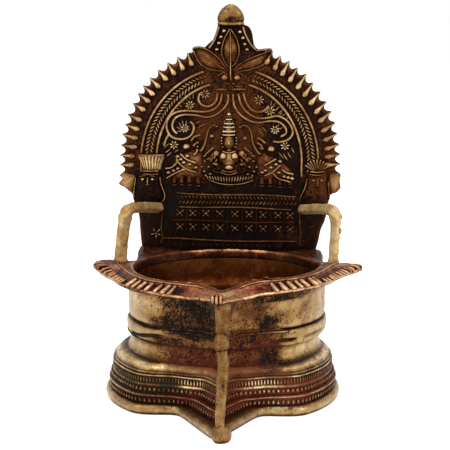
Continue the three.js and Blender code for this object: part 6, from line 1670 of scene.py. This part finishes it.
# %% Sky
SKY_ON_OBJECT = 0.55
sky = bpy.data.worlds.new("white_tent")
bpy.context.scene.world = sky
sky.use_nodes = True
tree = sky.node_tree
tree.nodes.clear()
ray = add(tree, "ShaderNodeLightPath")
seen = add(tree, "ShaderNodeMath", {0: ray.outputs["Is Camera Ray"], 1: ray.outputs["Is Transmission Ray"]},
    operation="MAXIMUM")
shiny = add(tree, "ShaderNodeMath", {0: seen.outputs[0], 1: ray.outputs["Is Glossy Ray"]},
    operation="MAXIMUM")
lit = add(tree, "ShaderNodeMapRange", {"Value": shiny.outputs[0], "To Min": SKY_ON_OBJECT, "To Max": 1.0})
glow = add(tree, "ShaderNodeBackground", {"Color": (1, 1, 1, 1), "Strength": lit.outputs["Result"]})
add(tree, "ShaderNodeOutputWorld", {"Surface": glow.outputs["Background"]})

print("sky on the object", SKY_ON_OBJECT, "and 1 where it is seen")

# %% [markdown]
# The floor is a sheet of matt white paper. A little glow, for the camera and for reflections only, brings
# it up to the white of the sky, and the object's shadow stays.

# %% Paper floor
FLOOR_HALF, PAPER, GLOW = 4, 0.86, 0.75
paper = bpy.data.materials.new("white_paper_floor")
paper.use_nodes = True
tree = paper.node_tree
tree.nodes.clear()
ray = add(tree, "ShaderNodeLightPath")
seen = add(tree, "ShaderNodeMath", {0: ray.outputs["Is Camera Ray"], 1: ray.outputs["Is Glossy Ray"]},
    operation="MAXIMUM")
lift_light = add(tree, "ShaderNodeMath", {0: seen.outputs[0], 1: GLOW}, operation="MULTIPLY")
matt = add(tree, "ShaderNodeBsdfDiffuse", {"Color": (PAPER, PAPER, PAPER, 1)})
shine_back = add(tree, "ShaderNodeEmission", {"Color": (1, 1, 1, 1), "Strength": lift_light.outputs[0]})
both = add(tree, "ShaderNodeAddShader", {0: matt.outputs[0], 1: shine_back.outputs[0]})
add(tree, "ShaderNodeOutputMaterial", {"Surface": both.outputs[0]})
sheet = bpy.data.meshes.new("floor_sheet")
floor_corners = [(x * FLOOR_HALF, y * FLOOR_HALF, 0) for x, y in ((-1, -1), (1, -1), (1, 1), (-1, 1))]
sheet.from_pydata(floor_corners, [], [(0, 1, 2, 3)])
sheet.materials.append(paper)
floor = bpy.data.objects.new("floor_sheet", sheet)
bpy.context.scene.collection.objects.link(floor)
print("floor", 2 * FLOOR_HALF, "m wide")

# %% [markdown]
# Three soft lamps: the left one a little stronger than the right, and one above. Large lamps give metal
# broad, soft highlights instead of hot points.

# %% Lamps
LAMP_AIM = np.array((0, 0, 0.09))


def lamp(name, place, size, power):
    """A square soft lamp that looks at the middle of the object: with W the way to it, the lamp tips back by
    atan2(|W across|, -W up) and turns by atan2(-W x, W y)."""
    light = bpy.data.lights.new(name, "AREA")
    light.size, light.energy = size, power
    holder = bpy.data.objects.new(name, light)
    holder.location = place
    way = LAMP_AIM - np.array(place)
    flat = math.hypot(way[0], way[1])
    holder.rotation_euler = (math.atan2(flat, -way[2]), 0, math.atan2(-way[0], way[1]))
    bpy.context.scene.collection.objects.link(holder)


lamp("left_softbox", (-0.75, -0.75, 0.75), 0.6, 3.6)
lamp("right_softbox", (0.85, -0.6, 0.55), 0.6, 2.8)
lamp("top_softbox", (0, -0.1, 1.1), 0.7, 3)

# %% [markdown]
# The camera stands where the photograph was taken: in front, a little to the right and above, and looking 9
# degrees down. Its long lens keeps upright edges nearly parallel.

# %% Camera
view = bpy.data.cameras.new("photo_view")
view.sensor_width, view.lens = 36, 104.26
view.clip_start = 0.01
camera = bpy.data.objects.new("photo_view", view)
camera.location = (0.02542, -0.61367, 0.1861)
camera.rotation_euler = (math.radians(80.7), 0, math.radians(2.4))
bpy.context.scene.collection.objects.link(camera)
bpy.context.scene.camera = camera
bpy.context.scene.view_settings.view_transform = "Standard"

print("camera at", [round(v, 3) for v in camera.location])
